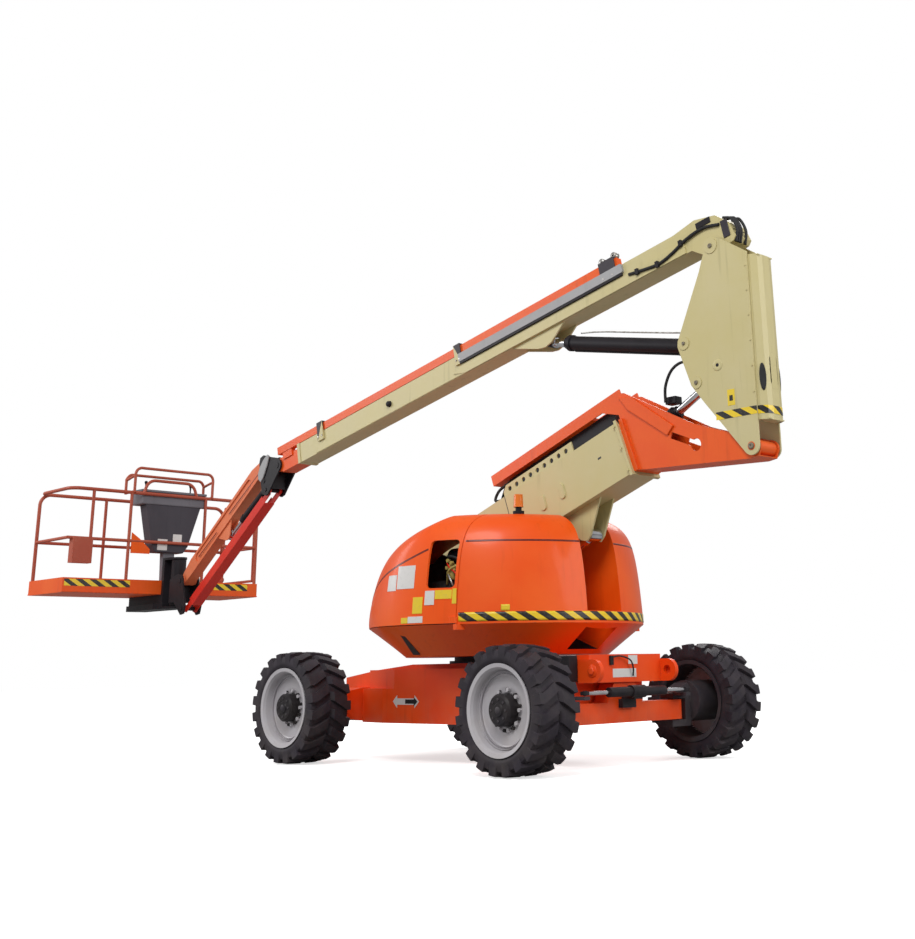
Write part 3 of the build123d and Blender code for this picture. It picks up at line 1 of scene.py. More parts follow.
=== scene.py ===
# %% [markdown]
# # Articulating boom lift, dressed
# The metal, wheels and cylinders come from the solid model and stay exactly where they are.
# This lesson gives them their paint, rubber and chrome, and adds the thin things a solid model
# leaves out: stripes, plates, hoses, bolts, nuts and the small fittings round the engine.

# %% Load the model
import bmesh
import bpy
import math
import numpy as np
from mathutils import Matrix, Vector


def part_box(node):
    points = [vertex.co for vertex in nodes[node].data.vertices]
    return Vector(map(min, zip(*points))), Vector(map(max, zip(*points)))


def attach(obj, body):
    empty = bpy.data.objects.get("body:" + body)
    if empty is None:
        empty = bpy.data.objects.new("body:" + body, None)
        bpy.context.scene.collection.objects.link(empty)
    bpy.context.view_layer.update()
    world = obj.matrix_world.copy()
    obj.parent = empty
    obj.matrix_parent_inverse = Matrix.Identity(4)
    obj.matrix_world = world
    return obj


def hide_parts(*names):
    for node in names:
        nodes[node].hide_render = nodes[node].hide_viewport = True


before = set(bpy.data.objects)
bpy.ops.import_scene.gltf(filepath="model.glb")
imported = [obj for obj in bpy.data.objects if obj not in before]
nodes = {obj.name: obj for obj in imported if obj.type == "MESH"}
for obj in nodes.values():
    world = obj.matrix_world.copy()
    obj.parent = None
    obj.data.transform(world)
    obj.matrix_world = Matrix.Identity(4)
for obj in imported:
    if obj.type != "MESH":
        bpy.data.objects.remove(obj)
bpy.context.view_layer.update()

# %% [markdown]
# ## Measuring helpers
# Every new piece is a surface worked out as one array of points. These helpers turn such an
# array into a mesh, close its seams, and hang it on the part of the machine it moves with.

# %% Mesh helpers
SIDES = ((-1, "right"), (1, "left"))


def mesh_piece(name, points, faces, body, slot, material, smooth=True):
    """A mesh from an (n, 3) array and a list or array of faces, riding on one body."""
    mesh = bpy.data.meshes.new(name)
    faces = faces.tolist() if isinstance(faces, np.ndarray) else faces
    mesh.from_pydata(np.asarray(points, float).tolist(), [], faces)
    mesh.validate()
    mesh.polygons.foreach_set("use_smooth", np.full(len(mesh.polygons), smooth))
    mesh.update()
    piece = bpy.data.objects.new(name, mesh)
    bpy.context.scene.collection.objects.link(piece)
    mesh.materials.append(material)
    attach(piece, body)
    return piece


def grid_faces(rows, columns, wrap_rows=False, wrap_columns=False):
    """Quads of a rows by columns grid: each joins a point to its right and lower neighbours."""
    i = np.arange(rows if wrap_rows else rows - 1)[:, None]
    j = np.arange(columns if wrap_columns else columns - 1)[None, :]
    i2, j2 = (i + 1) % rows, (j + 1) % columns
    corners = i * columns + j, i * columns + j2, i2 * columns + j2, i2 * columns + j
    return np.stack(np.broadcast_arrays(*corners), -1).reshape(-1, 4)


def shell_faces(n, m):
    """Faces of a thin shell of two n by m grids, outer first: front, back, and the rim that joins them."""
    front = grid_faces(n, m)
    edge = np.concatenate([np.arange(m), np.arange(1, n) * m + m - 1,
                           (n - 1) * m + np.arange(m - 2, -1, -1), np.arange(n - 2, 0, -1) * m])
    after = np.roll(edge, -1)
    rim = np.stack([edge, edge + n * m, after + n * m, after], 1)
    return np.vstack([front, front[:, ::-1] + n * m, rim])


def map_run(piece, run, height):
    """A UV layer named run that holds, for each vertex, its distance along a film and across it."""
    loops = np.zeros(len(piece.data.loops), int)
    piece.data.loops.foreach_get("vertex_index", loops)
    piece.data.uv_layers.new(name="run").data.foreach_set("uv", np.stack([run, height], 1)[loops].ravel())
    return piece


def smooth_line(points, count):
    """Even samples of the cubic that passes through each point with the slope of its neighbours."""
    p = np.asarray(points, float)
    ends = np.vstack([2 * p[0] - p[1], p, 2 * p[-1] - p[-2]])
    t = np.linspace(0, len(p) - 1 - 1e-9, count)
    k = t.astype(int)
    f = (t - k)[:, None]
    a, b, c, d = ends[k], ends[k + 1], ends[k + 2], ends[k + 3]
    return 0.5 * (2 * b + (c - a) * f + (2 * a - 5 * b + 4 * c - d) * f ** 2 + (3 * b - a - 3 * c + d) * f ** 3)


def tube_points(path, radius, sides):
    """Circles of one radius round each path point, square to the path's direction."""
    p = np.asarray(path, float)
    t = np.gradient(p, axis=0)
    t /= np.linalg.norm(t, axis=1, keepdims=True)
    mean = p[-1] - p[0]
    least = np.argmin(np.abs(t).max(0) + 0.2 * np.abs(mean) / (np.linalg.norm(mean) + 1e-9))
    u = np.cross(t, np.eye(3)[least])
    u /= np.linalg.norm(u, axis=1, keepdims=True)
    v = np.cross(t, u)
    a = np.linspace(0, 2 * np.pi, sides, endpoint=False)[None, :, None]
    return p[:, None] + radius * (np.cos(a) * u[:, None] + np.sin(a) * v[:, None])


def tube(name, points, radius, body, slot, material, count=40, sides=10):
    """A round tube along the smooth line through the points, with closed ends."""
    ring = tube_points(smooth_line(points, count), radius, sides)
    n = count * sides
    flat = np.vstack([ring.reshape(-1, 3), ring[0].mean(0), ring[-1].mean(0)])
    j = np.arange(sides)
    k = (j + 1) % sides
    last = (count - 1) * sides
    faces = grid_faces(count, sides, wrap_columns=True).tolist()
    faces += np.stack([np.full(sides, n), k, j], 1).tolist()
    faces += np.stack([np.full(sides, n + 1), last + j, last + k], 1).tolist()
    return mesh_piece(name, flat, faces, body, slot, material)


def facing(axis):
    """The turn that points Z along an axis, as a 3 by 3 array."""
    return np.array(Vector(axis).normalized().to_track_quat("Z", "Y").to_matrix())


def turned(name, profile, centre, axis, body, slot, material, sides=40):
    """A profile of (radius, height) pairs turned about an axis through the centre."""
    prof = np.asarray(profile, float)
    a = np.linspace(0, 2 * np.pi, sides, endpoint=False)
    ring = np.stack([prof[:, :1] * np.cos(a), prof[:, :1] * np.sin(a), np.repeat(prof[:, 1:], sides, 1)], -1)
    pts = ring.reshape(-1, 3) @ facing(axis).T + np.array(centre)
    return mesh_piece(name, pts, grid_faces(len(prof), sides, wrap_columns=True), body, slot, material)


def hex_heads(name, centres, axis, size, height, body, slot, material):
    """Many hexagon heads at once: one six-sided cone-topped prism moved to each centre."""
    a = np.arange(6) * np.pi / 3
    rings = [(1.0, 0.0), (1.0, 0.75), (0.86, 1.0), (0.0, 1.0)]
    local = np.concatenate([np.stack([r * size * np.cos(a), r * size * np.sin(a), np.full(6, h * height)], 1)
                            for r, h in rings])
    pts = (local @ facing(axis).T)[None] + np.asarray(centres, float)[:, None]
    starts = np.arange(len(centres)) * len(local)
    faces = (grid_faces(4, 6, wrap_columns=True)[None] + starts[:, None, None]).reshape(-1, 4)
    return mesh_piece(name, pts.reshape(-1, 3), faces, body, slot, material, smooth=False)


def sheet_on(name, corner, along, across, body, slot, material, thick=0.0015):
    """A thin flat plate: corner plus two edge vectors, given a thickness on its outer side."""
    c, a, b = (np.asarray(v, float) for v in (corner, along, across))
    normal = np.cross(a, b)
    base = np.array([c, c + b, c + a, c + a + b])
    pts = np.vstack([base + normal / np.linalg.norm(normal) * thick, base])
    piece = mesh_piece(name, pts, shell_faces(2, 2), body, slot, material, smooth=False)
    return map_run(piece, (pts - c) @ a / np.linalg.norm(a), (pts - c) @ b / np.linalg.norm(b))


print("helpers ready")

# %% [markdown]
# ## Shared shader effects
# Real paint is never one flat colour: it fades, collects dust low down and chips along its
# edges. Each effect is a node group with named sockets, built once and used by every paint.

# %% Node helpers
FLOAT = "NodeSocketFloat"
VECTOR = ("Vector", "NodeSocketVector", None)
MASK = ("Mask", FLOAT)


def new_group(name, inputs, outputs):
    """An empty shader node group with float or vector sockets, and its two end nodes."""
    g = bpy.data.node_groups.new(name, "ShaderNodeTree")
    for label, kind, value in inputs:
        s = g.interface.new_socket(label, in_out="INPUT", socket_type=kind)
        if value is not None:
            s.default_value = value
    for label, kind in outputs:
        g.interface.new_socket(label, in_out="OUTPUT", socket_type=kind)
    return g, g.nodes.new("NodeGroupInput").outputs, g.nodes.new("NodeGroupOutput").inputs


def feed(tree, socket, value):
    """Puts a number or a colour on a socket, or links another socket to it."""
    if isinstance(value, (int, float)):
        socket.default_value = value
    elif isinstance(value, (tuple, list)):
        socket.default_value = (*value, 1.0)
    else:
        tree.links.new(value, socket)


def maths(tree, kind, a, b, clamp=False):
    """One arithmetic node whose inputs are sockets or numbers."""
    n = tree.nodes.new("ShaderNodeMath")
    n.operation = kind
    n.use_clamp = clamp
    feed(tree, n.inputs[0], a)
    feed(tree, n.inputs[1], b)
    return n.outputs[0]


def scaled(tree, value, gain, start, clamp=False):
    """The start plus the gain times the value."""
    return maths(tree, "ADD", maths(tree, "MULTIPLY", value, gain), start, clamp)


def blend_colour(tree, mask, a, b):
    """Colour a where the mask is 0 and colour b where it is 1."""
    n = tree.nodes.new("ShaderNodeMix")
    n.data_type = "RGBA"
    for k, v in ((0, mask), (6, a), (7, b)):
        feed(tree, n.inputs[k], v)
    return n.outputs[2]


def noise(tree, vector, scale, detail=4.0, rough=0.55):
    """Cloudy noise between 0 and 1."""
    n = tree.nodes.new("ShaderNodeTexNoise")
    for label, v in (("Scale", scale), ("Detail", detail), ("Roughness", rough), ("Vector", vector)):
        feed(tree, n.inputs[label], v)
    return n.outputs["Fac"]


def step(tree, value, low, high):
    """0 below low, 1 above high, straight between."""
    n = tree.nodes.new("ShaderNodeMapRange")
    for label, v in (("From Min", low), ("From Max", high), ("Value", value)):
        feed(tree, n.inputs[label], v)
    return n.outputs[0]


def vector_node(tree, kind, a, b):
    """One vector arithmetic node; b is a socket or three numbers."""
    n = tree.nodes.new("ShaderNodeVectorMath")
    n.operation = kind
    tree.links.new(a, n.inputs[0])
    if isinstance(b, tuple):
        n.inputs[1].default_value = b
    else:
        tree.links.new(b, n.inputs[1])
    return n


def mask_out(tree, ends, a, b):
    """Sends a times b times the group's Amount to its Mask."""
    g_in, g_out = ends
    both = maths(tree, "MULTIPLY", a, b)
    tree.links.new(maths(tree, "MULTIPLY", both, g_in["Amount"], clamp=True), g_out["Mask"])


# %% Effect groups
fading, g_in, g_out = new_group("paint fading", [VECTOR, ("Amount", FLOAT, 0.5)], [MASK, ("Grain", FLOAT)])
cloud = step(fading, noise(fading, g_in["Vector"], 1.7, 5.0), 0.38, 0.66)
fading.links.new(maths(fading, "MULTIPLY", cloud, g_in["Amount"]), g_out["Mask"])
fading.links.new(noise(fading, g_in["Vector"], 240.0, 2.0), g_out["Grain"])

road_dust, g_in, g_out = new_group("road dust", [VECTOR, ("Height", FLOAT, 0.8), ("Amount", FLOAT, 0.6)], [MASK])
split = road_dust.nodes.new("ShaderNodeSeparateXYZ")
road_dust.links.new(g_in["Vector"], split.inputs[0])
share_of_height = maths(road_dust, "DIVIDE", split.outputs["Z"], g_in["Height"])
low_down = maths(road_dust, "SUBTRACT", 1.0, share_of_height, clamp=True)
patches = step(road_dust, noise(road_dust, g_in["Vector"], 5.0, 6.0, 0.65), 0.40, 0.68)
mask_out(road_dust, (g_in, g_out), low_down, patches)

streaks, g_in, g_out = new_group("rain streaks", [VECTOR, ("Amount", FLOAT, 0.4)], [MASK])
squeeze = vector_node(streaks, "MULTIPLY", g_in["Vector"], (22.0, 22.0, 1.2))
runs = step(streaks, noise(streaks, squeeze.outputs[0], 1.0, 3.0), 0.56, 0.74)
mask_out(streaks, (g_in, g_out), runs, step(streaks, noise(streaks, g_in["Vector"], 2.3, 2.0), 0.42, 0.62))

edge_wear, g_in, g_out = new_group("edge wear", [VECTOR, ("Width", FLOAT, 0.006), ("Amount", FLOAT, 0.8)], [MASK])
rounded = edge_wear.nodes.new("ShaderNodeBevel")
rounded.samples = 4
edge_wear.links.new(g_in["Width"], rounded.inputs["Radius"])
geometry = edge_wear.nodes.new("ShaderNodeNewGeometry")
dot = vector_node(edge_wear, "DOT_PRODUCT", rounded.outputs[0], geometry.outputs["Normal"])
bend = step(edge_wear, maths(edge_wear, "SUBTRACT", 1.0, dot.outputs["Value"]), 0.01, 0.12)
chips = step(edge_wear, noise(edge_wear, g_in["Vector"], 26.0, 5.0, 0.7), 0.50, 0.62)
mask_out(edge_wear, (g_in, g_out), bend, chips)
print("effect groups:", [g.name for g in bpy.data.node_groups])

# %% [markdown]
# ## Paints
# One recipe makes every painted finish: a base colour, a slightly faded one in clouds, chips
# on the edges, streaks and dust. Only the numbers change from orange to cream to black.

# %% Paint recipe
def use_group(tree, group, vector, **values):
    """A group node fed with coordinates and its own numbers."""
    n = tree.nodes.new("ShaderNodeGroup")
    n.node_tree = group
    tree.links.new(vector, n.inputs["Vector"])
    for label, v in values.items():
        n.inputs[label].default_value = v
    return n.outputs


def start_material(name, **uniform):
    """A material, its tree, its shader with plain values set, and Object coordinates for patterns."""
    m = bpy.data.materials.new(name)
    m.use_nodes = True
    t = m.node_tree
    shader = t.nodes["Principled BSDF"]
    for label, v in uniform.items():
        shader.inputs[label.replace("_", " ")].default_value = v
    return m, t, shader, t.nodes.new("ShaderNodeTexCoord").outputs["Object"]


def surface(t, shader, colour, rough):
    """Links a colour and a roughness to the shader."""
    t.links.new(colour, shader.inputs["Base Color"])
    t.links.new(rough, shader.inputs["Roughness"])


def add_bump(t, shader, height, strength, distance):
    """A bump from a height value to the shader's normal."""
    bump = t.nodes.new("ShaderNodeBump")
    bump.inputs["Strength"].default_value = strength
    bump.inputs["Distance"].default_value = distance
    t.links.new(height, bump.inputs["Height"])
    t.links.new(bump.outputs[0], shader.inputs["Normal"])


ROAD_DUST = (0.38, 0.31, 0.23)


def paint(name, colour, faded, roughness=0.42, coat=0.10, shine=0.30, chip=(0.16, 0.13, 0.11), wear=0.55,
          dust=0.5, dust_height=0.9, streak=0.25):
    """Enamel: the colour, then faded clouds, streaks, dust and edge chips laid over it in that order."""
    m, t, shader, where = start_material(name, Coat_Weight=coat, Coat_Roughness=0.12, Specular_IOR_Level=shine)
    fade = use_group(t, fading, where, Amount=0.75)
    dirt = use_group(t, road_dust, where, Height=dust_height, Amount=dust)["Mask"]
    layers = ((fade["Mask"], faded),
              (use_group(t, streaks, where, Amount=streak)["Mask"], tuple(c * 0.45 for c in colour)),
              (dirt, ROAD_DUST),
              (use_group(t, edge_wear, where, Width=0.005, Amount=wear)["Mask"], chip))
    colour_now = colour
    for mask, over in layers:
        colour_now = blend_colour(t, mask, colour_now, over)
    worn = scaled(t, fade["Mask"], 0.12, roughness)
    surface(t, shader, colour_now, scaled(t, dirt, 0.4, worn, clamp=True))
    add_bump(t, shader, fade["Grain"], 0.06, 0.001)
    return m


orange_paint = paint("orange enamel", (0.900, 0.092, 0.002), (0.93, 0.130, 0.008), coat=0.15, dust=0.25)
chassis_orange = paint("chassis orange", (0.86, 0.060, 0.003), (0.90, 0.095, 0.008), dust=0.25, dust_height=0.6)
boom_orange = paint("boom orange", (0.80, 0.085, 0.006), (0.85, 0.13, 0.015), dust=0.1)
jib_orange = paint("jib orange", (0.72, 0.150, 0.050), (0.78, 0.24, 0.11), dust=0.1, streak=0.4)
link_red = paint("link red", (0.66, 0.016, 0.006), (0.74, 0.04, 0.014), dust=0.0)
rail_orange = paint("rail orange", (0.40, 0.075, 0.040), (0.46, 0.11, 0.06), dust=0.1, wear=0.7)
cream_paint = paint("cream enamel", (0.57, 0.495, 0.235), (0.60, 0.53, 0.30), chip=(0.10, 0.09, 0.06),
                    streak=0.35, dust=0.25)
black_paint = paint("black enamel", (0.012, 0.010, 0.013), (0.024, 0.021, 0.026), chip=(0.13, 0.12, 0.12),
                    dust=0.12, coat=0.0, shine=0.22, wear=0.35)
dark_grey = paint("dark grey enamel", (0.040, 0.034, 0.042), (0.062, 0.055, 0.064), chip=(0.20, 0.19, 0.19),
                  dust=0.15, coat=0.0, shine=0.25)
rim_white = paint("rim white", (0.50, 0.48, 0.51), (0.58, 0.56, 0.58), dust=0.35, dust_height=0.75, wear=0.3,
                  streak=0.2)
console_grey = paint("console grey", (0.150, 0.145, 0.165), (0.20, 0.19, 0.21), coat=0.0, roughness=0.55, wear=0.3)
stand_grey = paint("stand grey", (0.050, 0.044, 0.056), (0.075, 0.068, 0.080), coat=0.0, roughness=0.55, wear=0.3)
bracket_grey = paint("bracket grey", (0.33, 0.33, 0.34), (0.42, 0.42, 0.42), roughness=0.45, coat=0.0)
print("paints:", len(bpy.data.materials))

# %% Bare and soft finishes
def rubber(name, colour, scale, dust):
    """Rubber: mottled dark patches, dust low down, and a fine grain."""
    m, t, shader, where = start_material(name, Specular_IOR_Level=0.35)
    mottle = step(t, noise(t, where, scale, 6.0, 0.65), 0.35, 0.7)
    dirt = use_group(t, road_dust, where, Height=1.2, Amount=dust)["Mask"]
    base = blend_colour(t, mottle, colour, tuple(c * 1.9 + 0.004 for c in colour))
    surface(t, shader, blend_colour(t, dirt, base, (0.20, 0.165, 0.125)), scaled(t, mottle, 0.18, 0.58))
    add_bump(t, shader, noise(t, where, 90.0, 4.0), 0.25, 0.002)
    return m


tyre_rubber = rubber("tyre rubber", (0.016, 0.012, 0.018), 7.0, 0.18)
hose_rubber = rubber("hose rubber", (0.013, 0.013, 0.014), 30.0, 0.0)

chrome, t, shader, where = start_material("chromed rod", Metallic=1.0)
clouded = step(t, noise(t, where, 12.0, 5.0), 0.4, 0.7)
surface(t, shader, blend_colour(t, clouded, (0.74, 0.74, 0.76), (0.58, 0.58, 0.60)),
        scaled(t, noise(t, where, 40.0), 0.12, 0.08))

steel, t, shader, where = start_material("zinc steel", Metallic=1.0)
spots = step(t, noise(t, where, 60.0, 4.0), 0.45, 0.62)
surface(t, shader, blend_colour(t, spots, (0.52, 0.51, 0.49), (0.30, 0.27, 0.23)), scaled(t, spots, 0.3, 0.32))

amber, t, shader, where = start_material("amber lens", Roughness=0.18, Coat_Weight=0.5)
ribs = t.nodes.new("ShaderNodeTexWave")
ribs.wave_type = "BANDS"
ribs.bands_direction = "Z"
ribs.inputs["Scale"].default_value = 60.0
t.links.new(where, ribs.inputs["Vector"])
lens = blend_colour(t, ribs.outputs["Fac"], (0.75, 0.13, 0.004), (0.90, 0.24, 0.012))
t.links.new(lens, shader.inputs["Base Color"])

cast_iron, t, shader, where = start_material("engine iron", Metallic=0.4)
oil = step(t, noise(t, where, 9.0, 6.0, 0.7), 0.42, 0.64)
surface(t, shader, blend_colour(t, oil, (0.075, 0.078, 0.080), (0.025, 0.022, 0.018)),
        maths(t, "SUBTRACT", 0.72, maths(t, "MULTIPLY", oil, 0.3)))


def plate(name, colour):
    """Blank printed film or metal: its colour, faint scuffs and a slightly dirty surface."""
    m, t, shader, where = start_material(name)
    scuff = step(t, noise(t, where, 35.0, 6.0, 0.7), 0.52, 0.7)
    worn = blend_colour(t, maths(t, "MULTIPLY", scuff, 0.35), colour, tuple(0.6 * c + 0.08 for c in colour))
    surface(t, shader, worn, scaled(t, scuff, 0.25, 0.35))
    return m


white_film = plate("white film", (0.70, 0.68, 0.66))
yellow_film = plate("yellow film", (0.80, 0.58, 0.03))
# This black film is print on plates and arrows, and painted shade over slots.
black_print_and_shade = plate("black print and painted shade", (0.012, 0.012, 0.013))
pin_steel = plate("dull pin steel", (0.20, 0.17, 0.12))
groove_dark = plate("groove shadow", (0.150, 0.012, 0.003))
brass = plate("brass fittings", (0.46, 0.36, 0.10))

STRIPE_LEAN, STRIPE_SHARE, STRIPE_EDGE = 1.6, 0.5, 0.01


def hazard(name, pitch):
    """Slanted stripes: the fraction of (run + lean times height) over the pitch picks yellow or black."""
    m, t, shader, where = start_material(name)
    uv = t.nodes.new("ShaderNodeUVMap")
    uv.uv_map = "run"
    split = t.nodes.new("ShaderNodeSeparateXYZ")
    t.links.new(uv.outputs[0], split.inputs[0])
    slant = maths(t, "ADD", split.outputs["X"], maths(t, "MULTIPLY", split.outputs["Y"], STRIPE_LEAN))
    part = t.nodes.new("ShaderNodeMath")
    part.operation = "FRACT"
    t.links.new(maths(t, "DIVIDE", slant, pitch), part.inputs[0])
    mask = step(t, part.outputs[0], STRIPE_SHARE - STRIPE_EDGE, STRIPE_SHARE + STRIPE_EDGE)
    scuff = step(t, noise(t, where, 30.0, 6.0, 0.7), 0.5, 0.7)
    base = blend_colour(t, mask, (0.85, 0.60, 0.02), (0.014, 0.013, 0.015))
    base = blend_colour(t, maths(t, "MULTIPLY", scuff, 0.2), base, (0.30, 0.24, 0.12))
    surface(t, shader, base, scaled(t, scuff, 0.25, 0.32))
    return m


tail_hazard = hazard("tail hazard stripe", 0.150)
upright_hazard = hazard("upright hazard stripe", 0.150)
platform_hazard = hazard("platform hazard stripe", 0.155)
print("finishes:", len(bpy.data.materials))

# %% [markdown]
# ## Finishes on the solid pieces
# Each solid keeps its mesh. Where one welded piece carries two finishes, such as a black hub in
# a white rim, the faces are told apart by where their middles lie, worked out for all faces at once.

# %% Where the faces of each solid lie
WHEEL_X, WHEEL_Z = 1.240, 0.425
WHEELS = {"front_right": (WHEEL_X, -1), "front_left": (WHEEL_X, 1),
          "rear_right": (-WHEEL_X, -1), "rear_left": (-WHEEL_X, 1)}
TOWER_TURN, MAIN_TURN = math.radians(19.4), math.radians(11.3)
TOWER_PIVOT, MAIN_PIVOT = (-0.650, 1.524), (2.434, 3.638)


def middles(piece):
    """Face centres of a solid, as one array."""
    c = np.empty(len(piece.data.polygons) * 3)
    piece.data.polygons.foreach_get("center", c)
    return c.reshape(-1, 3)


def finish_solid(name, *materials, pick=None):
    """Puts finishes on a solid; pick gives each face the number of its finish."""
    o = nodes[name]
    o.data.materials.clear()
    for m in materials:
        o.data.materials.append(m)
    if pick is not None:
        o.data.polygons.foreach_set("material_index", np.asarray(pick(middles(o)), dtype=np.int32))
    o.data.update()


def rim_faces(wx, side):
    """A pick for a rim: its white dish, its black hub cap, and the grey drum behind."""
    def pick(c):
        """0 for the dish, 1 for the hub cap, 2 for the drum, at each face centre."""
        r = np.hypot(c[:, 0] - wx, c[:, 2] - WHEEL_Z)
        out = side * c[:, 1]
        return np.where((r < 0.110) & (out > 1.0), 1, np.where(out < 1.105, 2, 0))
    return pick


def shaded_tub_webs(c):
    """The webs between the tub's inner walls, painted dark grey: painted shade between the walls."""
    inner = (np.abs(c[:, 1]) < 0.19) & (c[:, 2] > 0.80)
    return inner & (c[:, 0] > -0.80) & (c[:, 0] < 0.62)


def shaded_slot_walls(c):
    """The walls of the slot through the tail, painted black: painted shade inside the slot."""
    return (np.abs(c[:, 1]) < 0.193) & (c[:, 2] > 1.095) & (c[:, 0] < 0.70)


def tray_faces(c):
    """The hose tray on top of the tower, past its foot."""
    x, z = c[:, 0] - TOWER_PIVOT[0], c[:, 2] - TOWER_PIVOT[1]
    u = x * math.cos(TOWER_TURN) + z * math.sin(TOWER_TURN)
    v = z * math.cos(TOWER_TURN) - x * math.sin(TOWER_TURN)
    return (v > 0.184) & (np.abs(c[:, 1]) < 0.0605) & (u > 0.9)


def strip_faces(c):
    """The grey strip on the main boom's right wall, and the dark guides above it."""
    x, z = MAIN_PIVOT[0] - c[:, 0], c[:, 2] - MAIN_PIVOT[1]
    u = x * math.cos(MAIN_TURN) - z * math.sin(MAIN_TURN)
    v = z * math.cos(MAIN_TURN) + x * math.sin(MAIN_TURN)
    strip = (c[:, 1] < -0.1005) & (v > 0.174) & (v < 0.250) & (u > 0.845) & (u < 2.805)
    guide = (v > 0.2495) & (c[:, 1] < -0.0215)
    return np.where(guide, 2, np.where(strip, 1, 0))


# %% Finish every solid
ONE_FINISH = (
    (tyre_rubber, ["tyre_" + wheel for wheel in WHEELS]),
    (chassis_orange, ["front_axle"]),
    (orange_paint, ["hood_right", "hood_left"]),
    (cream_paint, ["upright_plates", "upright_cover"]),
    (boom_orange, ["tower_fly", "main_fly", "platform_tray"]),
    (jib_orange, ["jib_arm"]),
    (link_red, ["jib_link"]),
    (rail_orange, ["platform_rails", "platform_gate"]),
    (dark_grey, ["knuckle_right", "knuckle_left"]),
    (black_paint, ["steering_cylinder", "slew_ring", "tank_block", "tower_lift_barrel", "level_barrel",
                   "main_lift_barrel", "jib_head", "jib_barrel", "platform_support", "platform_rotator"]),
    (chrome, ["tower_lift_rod", "level_rod", "jib_rod"]),
    (cast_iron, ["engine_block"]),
    (console_grey, ["console"]))
for finish, names in ONE_FINISH:
    for name in names:
        finish_solid(name, finish)

for wheel, (wx, side) in WHEELS.items():
    finish_solid("rim_" + wheel, rim_white, black_paint, dark_grey, pick=rim_faces(wx, side))
finish_solid("chassis_frame", chassis_orange, black_paint, pick=lambda c: np.abs(c[:, 1]) > 0.775)
finish_solid("steering_rod", chrome, black_paint, pick=lambda c: np.abs(c[:, 1]) > 0.50)
# The tub's inner webs take dark grey as painted shade between the tub's inner walls.
finish_solid("turntable_frame", orange_paint, dark_grey, pick=shaded_tub_webs)
# The tail's slot walls take black as painted shade inside the slot.
finish_solid("counterweight", orange_paint, black_paint, pick=shaded_slot_walls)
finish_solid("beacon", amber, black_paint, pick=lambda c: c[:, 2] < 1.872)
finish_solid("tower_base", cream_paint, black_paint, pick=tray_faces)
finish_solid("main_base", cream_paint, bracket_grey, dark_grey, pick=strip_faces)
finish_solid("main_lift_rod", chrome, black_paint, pick=lambda c: c[:, 0] < c[:, 0].min() + 0.09)
print("solids finished:", len(nodes))

# %% [markdown]
# ## Warning stripes and blank plates
# Stripes are printed film a millimetre thick. On the round tail the film is an arc: angle along
# the run and height across it, laid on the tail's own radius. Flat films are two edge vectors.
# Each look pairs a slot name with the finish that a new piece shows.

# %% Looks and the tail stripe
RUBBER = "hose_rubber", hose_rubber
TRIM = "hose_rubber", black_paint
CREAM = "cream_paint", cream_paint
WHITE = "white_film", white_film
YELLOW = "yellow_film", yellow_film
STEEL = "bare_steel", steel
HUB = "bare_steel", dark_grey
SHADOW = "dark_frame", groove_dark
# The black look below is print on the travel arrow and painted shade over the tub slot.
INK_AND_SHADE = "dark_frame", black_print_and_shade
DARK_FITTING = "dark_frame", black_paint
LUG = "orange_paint", chassis_orange
CONSOLE = "console_plastic", console_grey
RAIL = "rail_paint", rail_orange
TAIL_R, HIGH_TAIL_R = 1.17, 1.105
SEAM_X, SLOT_Y = 0.612, 0.196


def tail_radius(z):
    """Radius of the tail above the ridge: an even fall from 1.170 m at 1.005 to 1.166 m at 1.110."""
    return TAIL_R - 0.004 * (z - 1.005) / 0.105


def arc_film(name, radius_at, turn, rise, slot, material, columns=60, proud=0.0035, thick=0.002):
    """Film on the turntable's round wall: x = r cos(angle), y = r sin(angle), r a function of height."""
    a, z = np.meshgrid(np.linspace(*turn, columns), np.linspace(*rise, 5), indexing="ij")
    shells = []
    for lift in (proud, proud - thick):
        r = radius_at(z) + lift
        shells.append(np.stack([r * np.cos(a), r * np.sin(a), z], -1).reshape(-1, 3))
    pts = np.vstack(shells)
    piece = mesh_piece(name, pts, shell_faces(columns, 5), "turntable", slot, material)
    return map_run(piece, np.arctan2(pts[:, 1], pts[:, 0]) * TAIL_R, pts[:, 2] - rise[0])


seam_angle = math.acos(SEAM_X / TAIL_R)
arc_film("tail_stripe", tail_radius, (-seam_angle, seam_angle), (1.022, 1.086), "yellow_black", tail_hazard,
         columns=120)
print("tail stripe from", round(math.degrees(-seam_angle)), "to", round(math.degrees(seam_angle)), "degrees")

# %% [markdown]
# ## Films on the flat plates and the rear cover
# The upright's stripe runs level round the side plate and on over the rounded cover, so the film
# on the cover is a band: an outline walked round the cover, and height across it.

# %% Upright stripe and plates
PLATE_Y = 0.1362
STRIPE_LOW, STRIPE_HEIGHT = 2.342, 0.056


def band(name, outline, low, high, body, slot, material, lifts=(0.002, 0.0004)):
    """Film round an outline of (x, y) points: each moved out by its own normal, at heights from low to high."""
    o = np.asarray(outline, float)
    t = np.gradient(o, axis=0)
    t /= np.linalg.norm(t, axis=1, keepdims=True)
    out = np.stack([t[:, 1], -t[:, 0]], 1)
    z = np.linspace(low, high, 3)
    n = len(o)
    pts = np.vstack([np.column_stack([np.repeat(o + out * lift, 3, 0), np.tile(z, n)]) for lift in lifts])
    piece = mesh_piece(name, pts, shell_faces(n, 3), body, slot, material, smooth=False)
    walked = np.concatenate([[0], np.cumsum(np.linalg.norm(np.diff(o, axis=0), axis=1))])
    return map_run(piece, np.tile(np.repeat(walked, 3), 2), np.tile(z - low, 2 * n))


def on_side(corner_x, corner_z, width, height, y, side=-1):
    """Corner and edge vectors of a plate on a wall that faces side times Y."""
    if side < 0:
        return (corner_x, y, corner_z), (width, 0, 0), (0, 0, height)
    return (corner_x + width, y, corner_z), (-width, 0, 0), (0, 0, height)


